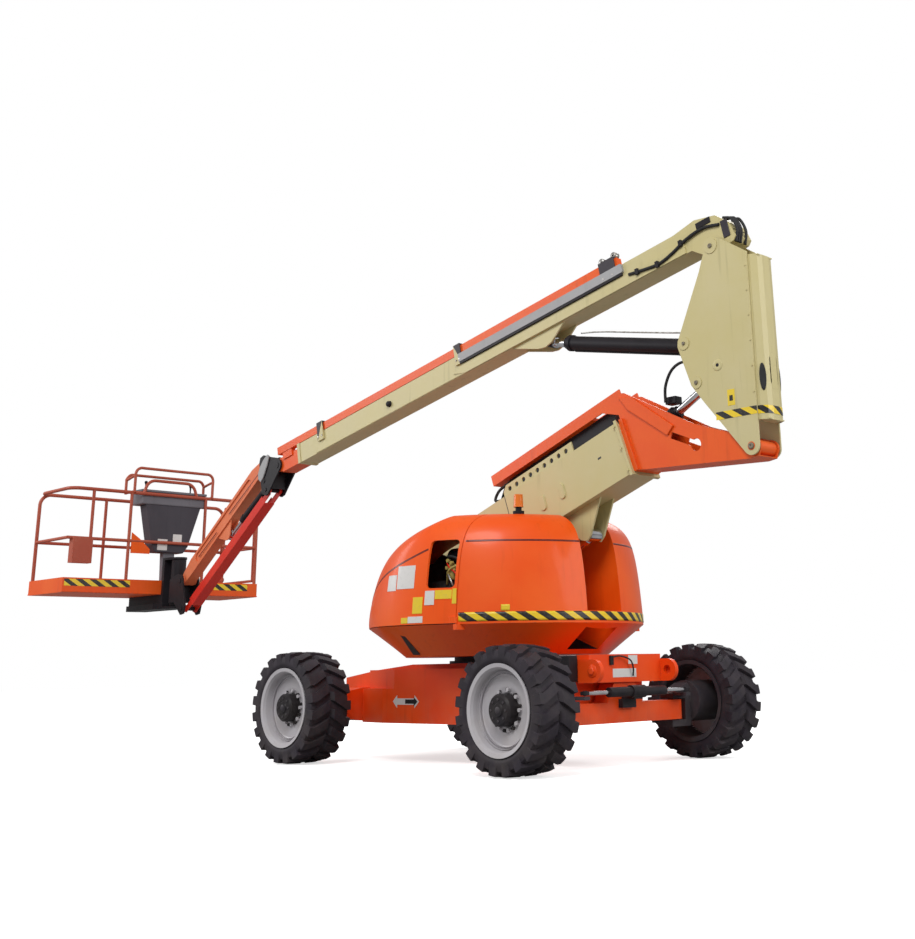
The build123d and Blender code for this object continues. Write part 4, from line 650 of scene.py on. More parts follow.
for side, tag in SIDES:
    sheet_on("upright_stripe_" + tag, *on_side(2.392, STRIPE_LOW, 0.348, STRIPE_HEIGHT, side * PLATE_Y, side),
             "upright", "yellow_black", upright_hazard)
half_walk = [(2.716, 0.119), (2.738, 0.119), (2.760, 0.119), (2.781, 0.102), (2.800, 0.086), (2.806, 0.063),
             (2.812, 0.040)]
cover_walk = [(x, -y) for x, y in half_walk] + [(2.812, 0.0)] + half_walk[::-1]
band("cover_stripe", cover_walk, STRIPE_LOW, STRIPE_LOW + STRIPE_HEIGHT, "upright", "yellow_black", upright_hazard)
sheet_on("upright_plate", *on_side(2.500, 2.430, 0.062, 0.115, -PLATE_Y), "upright", *YELLOW)
sheet_on("upright_plate_mark", *on_side(2.516, 2.462, 0.030, 0.040, -0.1378), "upright", "hose_rubber",
         black_print_and_shade, thick=0.0004)

# %% Pin ends and bolts on the upright
GROMMET_RINGS = ((1.0, -0.003), (1.0, 0.004), (0.86, 0.006), (0.6, 0.003), (0.0, 0.003))
PORT = (2.430, 2.738)


def pin_end(name, x, z, y, side, radius, body):
    """A turned pin end: rim, shallow dish and centre drilling, standing off the plate."""
    profile = [(0.0, 0.006), (radius * 0.22, 0.006), (radius * 0.25, 0.010), (radius * 0.80, 0.010),
               (radius * 0.92, 0.008), (radius, 0.003), (radius, -0.002)]
    turned(name, profile, (x, y, z), (0, side, 0), body, "bare_steel", pin_steel, sides=28)


for side, tag in SIDES:
    outward = (0, side, 0)
    for label, x, z, r in (("head", 2.434, 3.638, 0.018), ("cylinder", 2.141, 2.951, 0.014),
                           ("level", 2.236, 2.642, 0.016)):
        pin_end(f"upright_{label}_pin_{tag}", x, z, side * 0.1422, side, r, "upright")
    pin_end(f"upright_foot_pin_{tag}", 2.672, 2.125, side * 0.1372, side, 0.024, "tower_fly")
    port_at = (PORT[0], side * PLATE_Y, PORT[1])
    turned(f"upright_port_{tag}", [(0.010, 0.001), (0.014, 0.003), (0.040, 0.003), (0.044, 0.0), (0.044, -0.001)],
           port_at, outward, "upright", *CREAM, sides=32)
    turned(f"upright_port_plug_{tag}", [(0.0, 0.0035), (0.013, 0.0035), (0.014, 0.0)],
           port_at, outward, "upright", *TRIM, sides=24)
    edge_bolts = [(2.726, side * 0.1365, z) for z in np.linspace(2.50, 3.42, 6)]
    hex_heads("cover_bolts_" + tag, edge_bolts, outward, 0.007, 0.005, "upright", *CREAM)

sheet_on("cover_rear_blank", (2.8118, -0.036, 2.520), (0, 0.072, 0), (0, 0, 0.260), "upright", *CREAM, thick=0.001)
walk = np.linspace(0, 2 * np.pi, 32, endpoint=False)[:, None]
for side, tag in SIDES:
    across_face = np.array([0.040, -side * 0.033, 0.0]) / 0.0519
    out_face = np.array([0.033, side * 0.040, 0.0]) / 0.0519
    middle = np.array([2.7835, side * 0.0990, 2.600])
    oval = 0.024 * np.cos(walk) * across_face + 0.098 * np.sin(walk) * np.array([0, 0, 1.0])
    rings = np.vstack([middle + out_face * lift + k * oval for k, lift in GROMMET_RINGS])
    faces = grid_faces(len(GROMMET_RINGS), len(walk), wrap_columns=True)
    mesh_piece("cover_grommet_" + tag, rings, faces if side > 0 else faces[:, ::-1], "upright", *RUBBER)
print("upright dressed")

# %% [markdown]
# ## Boom fittings
# Positions on a slanted boom are easier to give along and above the boom. Small functions turn
# those distances into places: a turn by the boom's angle, then a move to its pivot.

# %% Places on the booms
RIGHT = (0, -1, 0)


def at_tower(u, v, y):
    """A place u along and v above the tower's pivot: turned up by the tower's angle, then moved."""
    return (TOWER_PIVOT[0] + u * math.cos(TOWER_TURN) - v * math.sin(TOWER_TURN), y,
            TOWER_PIVOT[1] + u * math.sin(TOWER_TURN) + v * math.cos(TOWER_TURN))


def at_main(u, v, y):
    """A place u along and v above the main boom's pivot: the boom runs back and down by its angle."""
    return (MAIN_PIVOT[0] - u * math.cos(MAIN_TURN) - v * math.sin(MAIN_TURN), y,
            MAIN_PIVOT[1] - u * math.sin(MAIN_TURN) + v * math.cos(MAIN_TURN))


def at_world(x, z, y):
    """A place given straight: length, height, then across."""
    return (x, y, z)


def places(place, *points):
    """Several places from (along, above, across) triples."""
    return [place(*p) for p in points]


def block(name, place, u, v, y, body, slot, material, bevel=0.004):
    """A box between two distances along, above and across a boom, with its edges rounded by a bevel."""
    corners = [place(a, b, c) for a in u for b in v for c in y]
    faces = [(0, 1, 3, 2), (4, 6, 7, 5), (0, 4, 5, 1), (2, 3, 7, 6), (0, 2, 6, 4), (1, 5, 7, 3)]
    piece = mesh_piece(name, corners, faces, body, slot, material, smooth=False)
    bm = bmesh.new()
    bm.from_mesh(piece.data)
    bmesh.ops.recalc_face_normals(bm, faces=bm.faces)
    bmesh.ops.bevel(bm, geom=bm.edges[:], offset=bevel, segments=2, affect="EDGES", profile=0.5)
    bm.to_mesh(piece.data)
    bm.free()
    return piece


# %% Main boom: shadow line, knob, end cap, roller bracket and hoses
block("strip_shadow_line", at_main, (0.86, 2.79), (0.152, 0.172), (-0.1235, -0.109), "main_base", *TRIM, 0.002)
block("boom_rib_low", at_main, (0.35, 4.95), (0.060, 0.070), (-0.106, -0.0985), "main_base", *CREAM, 0.002)
turned("boom_knob", [(0, 0.030), (0.020, 0.029), (0.026, 0.022), (0.026, 0.006), (0.030, 0.0)],
       at_main(3.80, 0.150, -0.1005), RIGHT, "main_base", *TRIM, sides=24)
block("boom_end_cap", at_main, (-0.030, 0.105), (0.196, 0.244), (-0.1065, -0.0985), "main_base", *TRIM, 0.002)
block("boom_end_plate", at_main, (-0.170, -0.110), (0.020, 0.160), (-0.1070, -0.0985), "main_base",
      "dark_frame", dark_grey, 0.002)
for k, y0 in enumerate((-0.080, -0.055, -0.030, 0.030)):
    loop = places(at_main, (-0.130, 0.190, y0), (-0.195, 0.150 + 0.008 * k, y0), (-0.225, 0.060, y0),
                  (-0.190, -0.040, y0))
    tube(f"boom_tail_hose_{k}", loop, 0.011, "main_base", *RUBBER, 36)
side_line = places(at_main, (0.80, 0.130, -0.112), (0.66, 0.105, -0.114), (0.50, 0.085, -0.114),
                   (0.36, 0.110, -0.114), (0.20, 0.160, -0.114), (0.04, 0.175, -0.112), (-0.10, 0.140, -0.108))
tube("boom_side_hose", side_line, 0.013, "main_base", *RUBBER, 50)
for k, (u, v) in enumerate(((0.25, 0.125), (0.50, 0.062), (0.70, 0.090))):
    block(f"hose_clamp_{k}", at_main, (u, u + 0.03), (v, v + 0.050), (-0.130, -0.100), "main_base", *TRIM, 0.003)
ROLLER = [(0.008, 0.0), (0.024, 0.001), (0.028, 0.006), (0.028, 0.050), (0.024, 0.055), (0.008, 0.056)]
for u in (0.935, 1.065):
    turned(f"rail_roller_{int(u * 1000)}", ROLLER, at_main(u, 0.368, -0.034), RIGHT, "main_base", *STEEL, sides=24)
guide_bolts = [at_main(u, 0.20, -0.1185) for u in (0.95, 1.05, 2.79, 2.83, 4.82, 4.88)]
hex_heads("guide_bolts", guide_bolts, RIGHT, 0.009, 0.007, "main_base", *STEEL)
pipe = [(2.10, -0.06, 3.055), (1.95, -0.055, 3.085), (1.60, -0.04, 3.160), (1.25, -0.03, 3.235), (1.02, -0.02, 3.270)]
tube("main_cylinder_pipe", pipe, 0.006, "main_lift_barrel", *STEEL, 40, 8)
print("main boom dressed")

# %% Tower: seam line, slot, bolts and hoses
block("tower_seam", at_tower, (1.000, 1.006), (-0.236, 0.176), (-0.1515, -0.1495), "tower_base",
      "cream_paint", dark_grey, 0.0005)
# The tower slot is a thin black film: painted shade where the slot opens in the tower.
block("tower_slot", at_tower, (2.035, 2.070), (-0.002, 0.012), (-0.1512, -0.1495), "tower_base",
      "hose_rubber", black_print_and_shade, 0.0005)
mouth_bolts = [at_tower(2.285, v, -0.1625) for v in (0.150, -0.210, -0.03)]
hex_heads("mouth_bolts", mouth_bolts, RIGHT, 0.010, 0.008, "tower_base", *CREAM)
for k, y in enumerate((-0.045, -0.02, 0.005, 0.030)):
    tray_line = places(at_tower, (2.22, 0.330, y), (1.6, 0.330, y), (1.10, 0.326, y), (0.96, 0.30, y),
                       (0.86, 0.215, y - 0.01 * k), (0.78, 0.196, y))
    tube(f"tower_tray_hose_{k}", tray_line, 0.010, "tower_base", *RUBBER, 50, 8)
tower_loop = places(at_tower, (1.02, 0.300, -0.07), (0.92, 0.275, -0.10), (0.86, 0.215, -0.11),
                    (0.93, 0.188, -0.10), (1.03, 0.190, -0.08))
tube("tower_loop_hose", tower_loop, 0.012, "tower_base", *RUBBER)
level_line = [(2.185, -0.09, 2.78), (2.08, -0.085, 2.83), (1.97, -0.08, 2.79), (1.90, -0.075, 2.68),
              (1.88, -0.06, 2.56)]
tube("level_hose", level_line, 0.011, "upright", *RUBBER)
block("level_valve", at_world, (1.860, 1.960), (2.548, 2.605), (-0.040, 0.040), "level_barrel", *TRIM, 0.006)
print("tower dressed")

# %% [markdown]
# ## Tyres with a deep tread
# A work tyre has two rows of slanted bars that meet in the middle and wrap over the shoulders.
# One grid carries the whole tyre: its columns lean with the bars, so each bar's flank falls on a
# grid line and stays crisp, and its rows follow the tyre's closed cross-section.

# %% Tread grid
TYRE_R, TYRE_HALF_WIDTH, BARS, BAR_LEAN = 0.4260, 0.1845, 20, 0.62
TREAD_EDGE, CASING_R, SHOULDER = 0.150, 0.375, 0.158
# closed cross-section (radius, across): from a bead over half the tread, its mirror, and the bore
HALF_SECTION = [
    (0.300, 0.166), (0.320, 0.180), (0.335, 0.1835), (0.352, 0.181), (0.372, 0.179), (0.384, 0.176),
    (0.392, 0.160), (0.394, 0.150), (0.3955, 0.110), (0.3965, 0.070), (0.397, 0.034), (0.397, 0.022)]
SECTION = np.array([(r, -y) for r, y in HALF_SECTION] + [(0.397, 0.0)] + HALF_SECTION[::-1]
                   + [(0.292, 0.150), (0.290, 0.0), (0.292, -0.150)])
# how high the bar stands at each row: full over the tread, easing down the shoulder
BAR_HEIGHT = np.interp(np.abs(SECTION[:, 1]), [0.0, 0.010, 0.016, 0.150, 0.1845], [0.0, 0.0, 1.0, 1.0, 1.0])
BAR_HEIGHT = np.where(SECTION[:, 0] < 0.340, 0.0, np.where(SECTION[:, 0] < 0.372, 0.35, BAR_HEIGHT))
STEPS = np.array([0.0, 0.035, 0.06, 0.095, 0.20, 0.31, 0.40, 0.5, 0.535, 0.56, 0.595, 0.70, 0.81, 0.90])


def tyre_surface(wx, side, wy):
    """Radius = section radius + bar height; a bar fills 6/10 of its pitch and leans away from the middle."""
    fraction = (np.arange(BARS)[:, None] + STEPS[None, :]).ravel() / BARS
    across, radius = SECTION[:, 1], SECTION[:, :1]
    lean = BAR_LEAN * np.clip(np.abs(across), 0, TREAD_EDGE) / TREAD_EDGE / BARS
    turn = 2 * np.pi * (fraction[None, :] + lean[:, None])
    phase = (fraction[None, :] * BARS + np.where(across > 0, 0.5, 0.0)[:, None]) % 1.0
    lift = BAR_HEIGHT[:, None] * np.interp(phase, [0.0, 0.035, 0.56, 0.595, 1.0], [0.0, 1.0, 1.0, 0.0, 0.0])
    flat = np.interp(np.abs(across), [0.0, 0.12, 0.160, 0.1845],
                     [TYRE_R, TYRE_R - 0.002, TYRE_R - 0.010, TYRE_R - 0.028])[:, None]
    r = np.where(radius > CASING_R, radius + (flat - radius) * lift, radius)
    y = across[:, None]
    y = np.where(np.abs(y) > SHOULDER, np.sign(y) * (np.abs(y) + (TYRE_HALF_WIDTH - np.abs(y)) * lift), y)
    return np.stack([wx + r * np.sin(turn), wy + side * y, WHEEL_Z + r * np.cos(turn)], -1), len(fraction)


for wheel, (wx, side) in WHEELS.items():
    low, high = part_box("tyre_" + wheel)
    grid, columns = tyre_surface(wx, side, 0.5 * (low[1] + high[1]))
    faces = grid_faces(len(SECTION), columns, wrap_rows=True, wrap_columns=True)
    piece = mesh_piece("tread_" + wheel, grid.reshape(-1, 3), faces if side > 0 else faces[:, ::-1],
                       "wheel_" + wheel, "tyre_rubber", tyre_rubber)
    piece.data.set_sharp_from_angle(angle=math.radians(28))
    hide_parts("tyre_" + wheel)
print("tyres:", 4, "with", BARS * 2, "bars each")


# %% Rim rings and wheel nuts
def round_axle(wx, y, radius, count, start=0.0):
    """A ring of bolt places round an axle."""
    a = np.arange(count) * 2 * np.pi / count + start
    return np.stack([wx + radius * np.cos(a), np.full(count, y), WHEEL_Z + radius * np.sin(a)], 1)


RIM_STEP = [(0.252, -0.064), (0.252, -0.082), (0.244, -0.088), (0.236, -0.086), (0.234, -0.066)]
HUB_PLUG = [(0.0, 0.004), (0.020, 0.004), (0.024, 0.001), (0.024, -0.004)]
for wheel, (wx, side) in WHEELS.items():
    body, outward = "wheel_" + wheel, (0, side, 0)
    turned("rim_step_" + wheel, RIM_STEP, (wx, side * 1.2190, WHEEL_Z), outward, body, "rim_paint", rim_white, sides=64)
    hex_heads("wheel_nuts_" + wheel, round_axle(wx, side * 1.1225, 0.132, 10, 0.2), outward, 0.013, 0.022, body,
              "bare_steel", black_paint)
    hex_heads("hub_bolts_" + wheel, round_axle(wx, side * 1.2065, 0.070, 8), outward, 0.009, 0.007, body, *HUB)
    turned("hub_plug_" + wheel, HUB_PLUG, (wx, side * 1.2145, WHEEL_Z), outward, body, *HUB, sides=24)
print("wheels dressed")

# %% [markdown]
# ## Grooves and plates draped on the hood and tail
# The moulded cover has a shallow groove, and blank plates stuck to its curve. Each is a strip or
# patch given in side view, then pushed onto the cover's skin: for every point, the triangle of
# the cover that lies over it is found, and its depth there is read by weighing the corners.

# %% Draping
NEAR, TINY, SLACK = 0.01, 1e-12, -1e-4


def skin_depth(node, xz, side=-1):
    """Outermost Y of a solid's skin at each (x, z): a triangle's corner weights at the point give the depth."""
    mesh = nodes[node].data
    mesh.calc_loop_triangles()
    v = np.empty(len(mesh.vertices) * 3)
    mesh.vertices.foreach_get("co", v)
    k = np.empty(len(mesh.loop_triangles) * 3, dtype=np.int32)
    mesh.loop_triangles.foreach_get("vertices", k)
    tri = v.reshape(-1, 3)[k.reshape(-1, 3)]
    p = np.asarray(xz, float)
    flat = tri[:, :, [0, 2]]
    near = ((flat.max(1) > p.min(0) - NEAR) & (flat.min(1) < p.max(0) + NEAR)).all(1)
    tri = tri[near & (tri[:, :, 1].mean(1) * side > 0)]
    a, b, c = tri[:, 0][:, [0, 2]], tri[:, 1][:, [0, 2]], tri[:, 2][:, [0, 2]]
    area = (b[:, 0] - a[:, 0]) * (c[:, 1] - a[:, 1]) - (b[:, 1] - a[:, 1]) * (c[:, 0] - a[:, 0])
    area = np.where(np.abs(area) < TINY, TINY, area)
    d = p[:, None] - a[None]
    w1 = (d[..., 0] * (c - a)[:, 1] - d[..., 1] * (c - a)[:, 0]) / area
    w2 = ((b - a)[:, 0] * d[..., 1] - (b - a)[:, 1] * d[..., 0]) / area
    w0 = 1 - w1 - w2
    y = w0 * tri[:, 0, 1] + w1 * tri[:, 1, 1] + w2 * tri[:, 2, 1]
    inside = (w0 > SLACK) & (w1 > SLACK) & (w2 > SLACK)
    depth = np.where(inside, y * side, -1e9).max(1) * side
    return np.where(np.abs(depth) > 1e6, np.nan, depth)


def drape(name, node, grid, slot, material, side=-1, proud=0.0025, base=0.0006):
    """A patch: a rows by columns by 2 grid of (x, z), laid on a solid's skin and given a thickness outwards."""
    g = np.asarray(grid, float)
    n, m = g.shape[:2]
    y = skin_depth(node, g.reshape(-1, 2), side).reshape(n, m)
    y = np.where(np.isnan(y), np.nanmean(y), y)
    base_pts = np.stack([g[..., 0], y, g[..., 1]], -1)
    normal = np.cross(np.gradient(base_pts, axis=0), np.gradient(base_pts, axis=1))
    normal /= np.linalg.norm(normal, axis=-1, keepdims=True) + TINY
    normal *= np.where(normal[..., 1:2] * side < 0, -1, 1)
    top, low = base_pts + normal * proud, base_pts - normal * base
    first = np.cross(top[1, 0] - top[0, 0], top[0, 1] - top[0, 0])
    faces = shell_faces(n, m)
    return mesh_piece(name, np.vstack([top.reshape(-1, 3), low.reshape(-1, 3)]),
                      faces[:, ::-1] if first[1] * side > 0 else faces, node, slot, material, smooth=False)


def patch(low_x, high_x, low_z, high_z, cuts=(6, 4)):
    """A grid of (x, z) over a rectangle."""
    x, z = np.linspace(low_x, high_x, cuts[0]), np.linspace(low_z, high_z, cuts[1])
    return np.stack(np.meshgrid(x, z, indexing="ij"), -1)


def ribbon(points, width, count=40):
    """A strip of one width along the smooth line through (x, z) points."""
    p = smooth_line(points, count)
    t = np.gradient(p, axis=0)
    t /= np.linalg.norm(t, axis=1, keepdims=True)
    n = np.stack([-t[:, 1], t[:, 0]], 1)
    return np.stack([p - n * width / 2, p, p + n * width / 2], 1)


groove = [(0.352, 1.553), (0.20, 1.492), (0.04, 1.434), (-0.10, 1.388), (-0.26, 1.325), (-0.40, 1.252), (-0.55, 1.150)]
for side, tag in SIDES:
    drape("hood_groove_" + tag, "hood_" + tag, ribbon(groove, 0.014, 60), *SHADOW, side, proud=0.0012)
    print("groove", tag)
HOOD_PLATES = (("white_low", (-0.020, 0.085, 1.262, 1.378), WHITE), ("white_high", (0.095, 0.262, 1.272, 1.440), WHITE),
               ("yellow_left", (0.262, 0.345, 1.088, 1.206), YELLOW), ("round", (0.362, 0.436, 1.146, 1.248), WHITE),
               ("yellow_band", (0.440, 0.560, 1.186, 1.250), YELLOW),
               ("yellow_end", (0.564, 0.598, 1.150, 1.258), YELLOW),
               ("low_yellow", (0.160, 0.222, 1.022, 1.062), YELLOW), ("low_white", (0.224, 0.352, 1.022, 1.068), WHITE))
for label, edges, look in HOOD_PLATES:
    drape("plate_" + label, "hood_right", patch(*edges), *look, proud=0.0035 if label == "round" else 0.0025)
print("hood plates laid")


# %% Tail groove and small plate
def tail_high(z):
    """Radius of the tail at the groove: 1.105 m at 1.601, falling 0.27 for each metre of height."""
    return HIGH_TAIL_R - 0.27 * (z - 1.601)


for side, tag in SIDES:
    ends = sorted((side * math.acos(SEAM_X / HIGH_TAIL_R), side * math.asin(SLOT_Y / HIGH_TAIL_R)))
    arc_film("tail_groove_" + tag, tail_high, ends, (1.594, 1.608), *SHADOW, columns=40, proud=0.0012)
arc_film("tail_plate", lambda z: 1.1645, np.radians((-43.1, -39.9)), (1.092, 1.136), *YELLOW, columns=6, proud=0.003)
print("tail dressed")

# %% [markdown]
# ## Chassis details
# Flat shapes such as the two-headed travel arrow are outlines given a thickness. The steer end
# has a plugged lug, a junction box, two blank plates and a short brake hose.

# %% Flat shapes and chassis fittings
def prism(name, outline, depth, body, slot, material, bevel=0.0):
    """An outline of (x, y, z) points carried along a depth vector, walked so that its faces point out."""
    o, d = np.asarray(outline, float), np.asarray(depth, float)
    area = np.cross(o - o[0], np.roll(o, -1, axis=0) - o[0]).sum(0)
    o = o[::-1] if area @ d > 0 else o
    n = len(o)
    i = np.arange(n)
    j = (i + 1) % n
    faces = [i.tolist(), (i[::-1] + n).tolist()] + np.stack([j, i, i + n, j + n], 1).tolist()
    piece = mesh_piece(name, np.vstack([o, o + d]), faces, body, slot, material, smooth=False)
    if bevel:
        soften = piece.modifiers.new("soft edges", "BEVEL")
        soften.width, soften.segments, soften.limit_method = bevel, 2, "ANGLE"
    return piece


def on_wall(points, y):
    """Side-view (x, z) points set on a wall at one Y."""
    return [(x, y, z) for x, z in points]


arrow = [(-0.655, 0.454), (-0.600, 0.503), (-0.600, 0.478), (-0.387, 0.478), (-0.387, 0.503), (-0.332, 0.454),
         (-0.387, 0.405), (-0.387, 0.430), (-0.600, 0.430), (-0.600, 0.405)]
dark_half = [(-0.500, 0.470), (-0.395, 0.470), (-0.395, 0.488), (-0.350, 0.454), (-0.395, 0.420), (-0.395, 0.438),
             (-0.500, 0.438)]
LUG_PLUG = [(0.0, 0.006), (0.040, 0.006), (0.046, 0.002), (0.046, -0.002)]
for side, tag in SIDES:
    prism("travel_arrow_" + tag, on_wall(arrow, side * 0.5600), (0, side * 0.0014, 0), "chassis", *WHITE)
    prism("travel_arrow_dark_" + tag, on_wall(dark_half, side * 0.5612), (0, side * 0.0010, 0), "chassis", *INK_AND_SHADE)
    turned("lug_plug_" + tag, LUG_PLUG, (1.400, side * 0.4365, 0.660), (0, side, 0), "chassis", *LUG, sides=8)
    hex_heads("lug_plug_head_" + tag, [(1.400, side * 0.4420, 0.660)], (0, side, 0), 0.026, 0.012, "chassis", *LUG)
block("junction_box", at_world, (1.165, 1.270), (0.590, 0.770), (-0.540, -0.445), "chassis", *DARK_FITTING, 0.008)
sheet_on("cross_plate_small", (1.3402, 0.028, 0.705), (0, 0.102, 0), (0, 0, 0.062), "chassis", *WHITE)
sheet_on("cross_plate_wide", (1.3402, -0.149, 0.614), (0, 0.261, 0), (0, 0, 0.060), "chassis", *WHITE)
brake_line = [(1.346, -0.165, 0.752), (1.362, -0.090, 0.762), (1.372, 0.010, 0.735), (1.366, 0.050, 0.680),
              (1.352, 0.062, 0.622)]
tube("brake_hose", brake_line, 0.006, "chassis", *RUBBER, 40, 8)
block("hose_bracket", at_world, (1.338, 1.356), (0.700, 0.765), (-0.185, -0.150), "chassis", *DARK_FITTING, 0.003)
# The tub slot is a thin black film: painted shade where the slot opens in the tub.
tub_slot = [(0.058, -1.079, 0.944), (0.100, -1.079, 0.944), (0.072, -0.893, 0.802), (-0.010, -0.893, 0.802)]
prism("tub_slot", tub_slot, (0, -0.0018, -0.0014), "turntable", *INK_AND_SHADE)
print("chassis dressed")

# %% [markdown]
# ## Behind the service window
# A few engine parts show through the opening: an air cleaner, a filter, a belt cover and hoses
# of several colours. Each is a turned profile or a tube along a smooth line.

# %% Engine parts
air_cleaner = [(0.0, 0.0), (0.060, 0.0), (0.068, 0.008), (0.068, 0.150), (0.074, 0.152), (0.074, 0.162),
               (0.068, 0.164), (0.064, 0.215), (0.0, 0.215)]
fuel_filter = [(0.0, 0.0), (0.030, 0.0), (0.036, 0.006), (0.036, 0.100), (0.030, 0.112), (0.012, 0.116), (0.0, 0.116)]
belt_cover = [(0.0, 0.0), (0.085, 0.0), (0.092, 0.006), (0.092, 0.028), (0.070, 0.034), (0.066, 0.020),
              (0.030, 0.020), (0.026, 0.036), (0.0, 0.036)]
turned("air_cleaner", air_cleaner, (0.360, -0.820, 1.500), (1, 0, 0), "turntable", "engine_iron", black_paint, sides=48)
turned("fuel_filter", fuel_filter, (0.445, -0.900, 1.330), (0, 0, 1), "turntable", "yellow_film", brass, sides=36)
turned("belt_cover", belt_cover, (0.455, -0.860, 1.250), RIGHT, "turntable", "engine_iron", cast_iron, sides=48)
HOSES = (
    ("fuel_hose", 0.010, hose_rubber,
     [(0.36, -0.86, 1.44), (0.43, -0.93, 1.50), (0.52, -0.90, 1.47), (0.56, -0.82, 1.36)]),
    ("oil_hose", 0.008, brass,
     [(0.38, -0.90, 1.30), (0.46, -0.95, 1.40), (0.54, -0.90, 1.42), (0.57, -0.80, 1.30)]),
    ("wire_bundle", 0.006, link_red,
     [(0.40, -0.92, 1.46), (0.45, -0.94, 1.42), (0.52, -0.93, 1.36), (0.50, -0.90, 1.28)]),
    ("pump_hose", 0.009, steel,
     [(0.50, -0.92, 1.24), (0.48, -0.95, 1.32), (0.42, -0.93, 1.38), (0.38, -0.88, 1.36)]))
for name, radius, material, line in HOSES:
    tube(name, line, radius, "turntable", "hose_rubber", material)
fitting_at = [(0.42, -0.915, 1.47), (0.47, -0.925, 1.45), (0.40, -0.905, 1.42), (0.49, -0.915, 1.40),
              (0.44, -0.925, 1.38)]
hex_heads("engine_fittings", fitting_at, RIGHT, 0.016, 0.022, "turntable", "bare_steel", brass)
print("engine dressed")

# %% [markdown]
# ## The platform
# Both near toe boards carry a striped film. The control box has a wider tray with a lip, a dark
# tapered stand, and a high double hoop that guards it.

# %% Platform details
HOOP_X, FAR_HOOP_X = -5.232, -5.430
for label, y0, y1 in (("outer", -1.222, -0.480), ("inner", 0.545, 0.990)):
    sheet_on("toe_stripe_" + label, (-5.2198, y0, 1.596), (0, y1 - y0, 0), (0, 0, 0.070), "platform",
             "yellow_black", platform_hazard)
block("console_tray", at_world, (-5.500, -5.258), (2.500, 2.640), (-0.385, 0.400), "platform", *CONSOLE, 0.014)
block("console_lip", at_world, (-5.510, -5.250), (2.636, 2.662), (-0.400, 0.415), "platform", *CONSOLE, 0.006)
stand = [(-5.262, y, z) for y, z in ((-0.330, 2.500), (0.350, 2.500), (0.215, 2.060), (0.160, 1.985),
                                     (-0.190, 1.985), (-0.235, 2.060))]
prism("console_stand", stand, (-0.150, 0, 0), "platform", "console_plastic", stand_grey, bevel=0.010)
LEVER = [(0.0, 0.110), (0.014, 0.106), (0.018, 0.090), (0.010, 0.070), (0.007, 0.010), (0.020, 0.004), (0.020, -0.002)]
for k, y in enumerate((-0.30, 0.26)):
    turned(f"console_lever_{k}", LEVER, (-5.360, y, 2.660), (0, 0, 1), "platform",
           "console_plastic", black_paint, sides=24)
sheet_on("stand_plate", (-5.2615, -0.165, 2.010), (0, 0.120, 0), (0, 0, 0.120), "platform", *WHITE)
sheet_on("stand_plate_high", (-5.2615, 0.020, 2.090), (0, 0.110, 0), (0, 0, 0.100), "platform", *WHITE)
gusset = [(HOOP_X, y, z) for y, z in ((-0.492, 2.180), (-0.492, 1.960), (-0.270, 1.960), (-0.270, 2.010),
                                      (-0.400, 2.120))]
prism("rail_gusset", gusset, (-0.010, 0, 0), "platform", "orange_paint", orange_paint)
for name, x, top in (("guard_hoop_near", HOOP_X, 2.885), ("guard_hoop_far", FAR_HOOP_X, 2.830)):
    hoop = [(-0.500, 2.610), (-0.500, 2.740), (-0.496, top - 0.050), (-0.450, top - 0.004), (-0.360, top), (0.0, top),
            (0.330, top), (0.425, top - 0.004), (0.468, top - 0.050), (0.470, 2.740), (0.470, 2.610)]
    tube(name, [(x, y, z) for y, z in hoop], 0.0155, "platform", *RAIL, 110, 14)
for label, ys, heights, mid_x in (("tie", (-0.496, 0.468), (2.800, 2.790, 2.765), -5.300),
                                  ("foot", (-0.500, 0.470), (2.625, 2.622, 2.622), -5.320)):
    for k, y in enumerate(ys):
        link = [(x, y, z) for x, z in zip((HOOP_X, mid_x, FAR_HOOP_X), heights)]
        tube(f"guard_{label}_{k}", link, 0.0140, "platform", *RAIL, 20, 12)
print("platform dressed")

# %% Raised plate on the tower's nose
nose_plate = [(1.470, 2.655), (1.600, 2.640), (1.990, 2.365), (1.930, 2.300), (1.560, 2.545)]
for side, tag in SIDES:
    prism("nose_plate_" + tag, on_wall(nose_plate, side * 0.1115), (0, side * 0.016, 0), "tower_fly",
          "boom_paint", boom_orange, bevel=0.005)

# %% Jib head cover and slots
JIB_DOWN, JIB_PIVOT = math.radians(34.6), (-3.385, 2.690)
cover_shape = [(-3.412, 2.640), (-3.405, 2.580), (-3.360, 2.545), (-3.318, 2.590), (-3.262, 2.700), (-3.226, 2.800),
               (-3.262, 2.818), (-3.330, 2.770), (-3.385, 2.705)]
prism("jib_head_cover", on_wall(cover_shape, -0.1045), (0, -0.016, 0), "jib_head", "cover_plastic", bracket_grey,
      bevel=0.006)


def at_jib(u, v, y):
    """Distance down and above the jib arm's middle line from its head pivot."""
    return (JIB_PIVOT[0] - u * math.cos(JIB_DOWN) - v * math.sin(JIB_DOWN), y,
            JIB_PIVOT[1] - u * math.sin(JIB_DOWN) + v * math.cos(JIB_DOWN))


for label, u, v in (("high", (0.10, 0.74), 0.020), ("low", (1.02, 1.42), 0.004)):
    block("jib_slot_" + label, at_jib, u, (v, v + 0.009), (-0.0640, -0.0600), "jib_arm", *SHADOW, 0.0006)
print("jib dressed")

# %% [markdown]
# ## The stage
# A pale floor and backdrop, four broad soft lamps and a camera at eye level beside the steer
# axle, looking up along the booms.

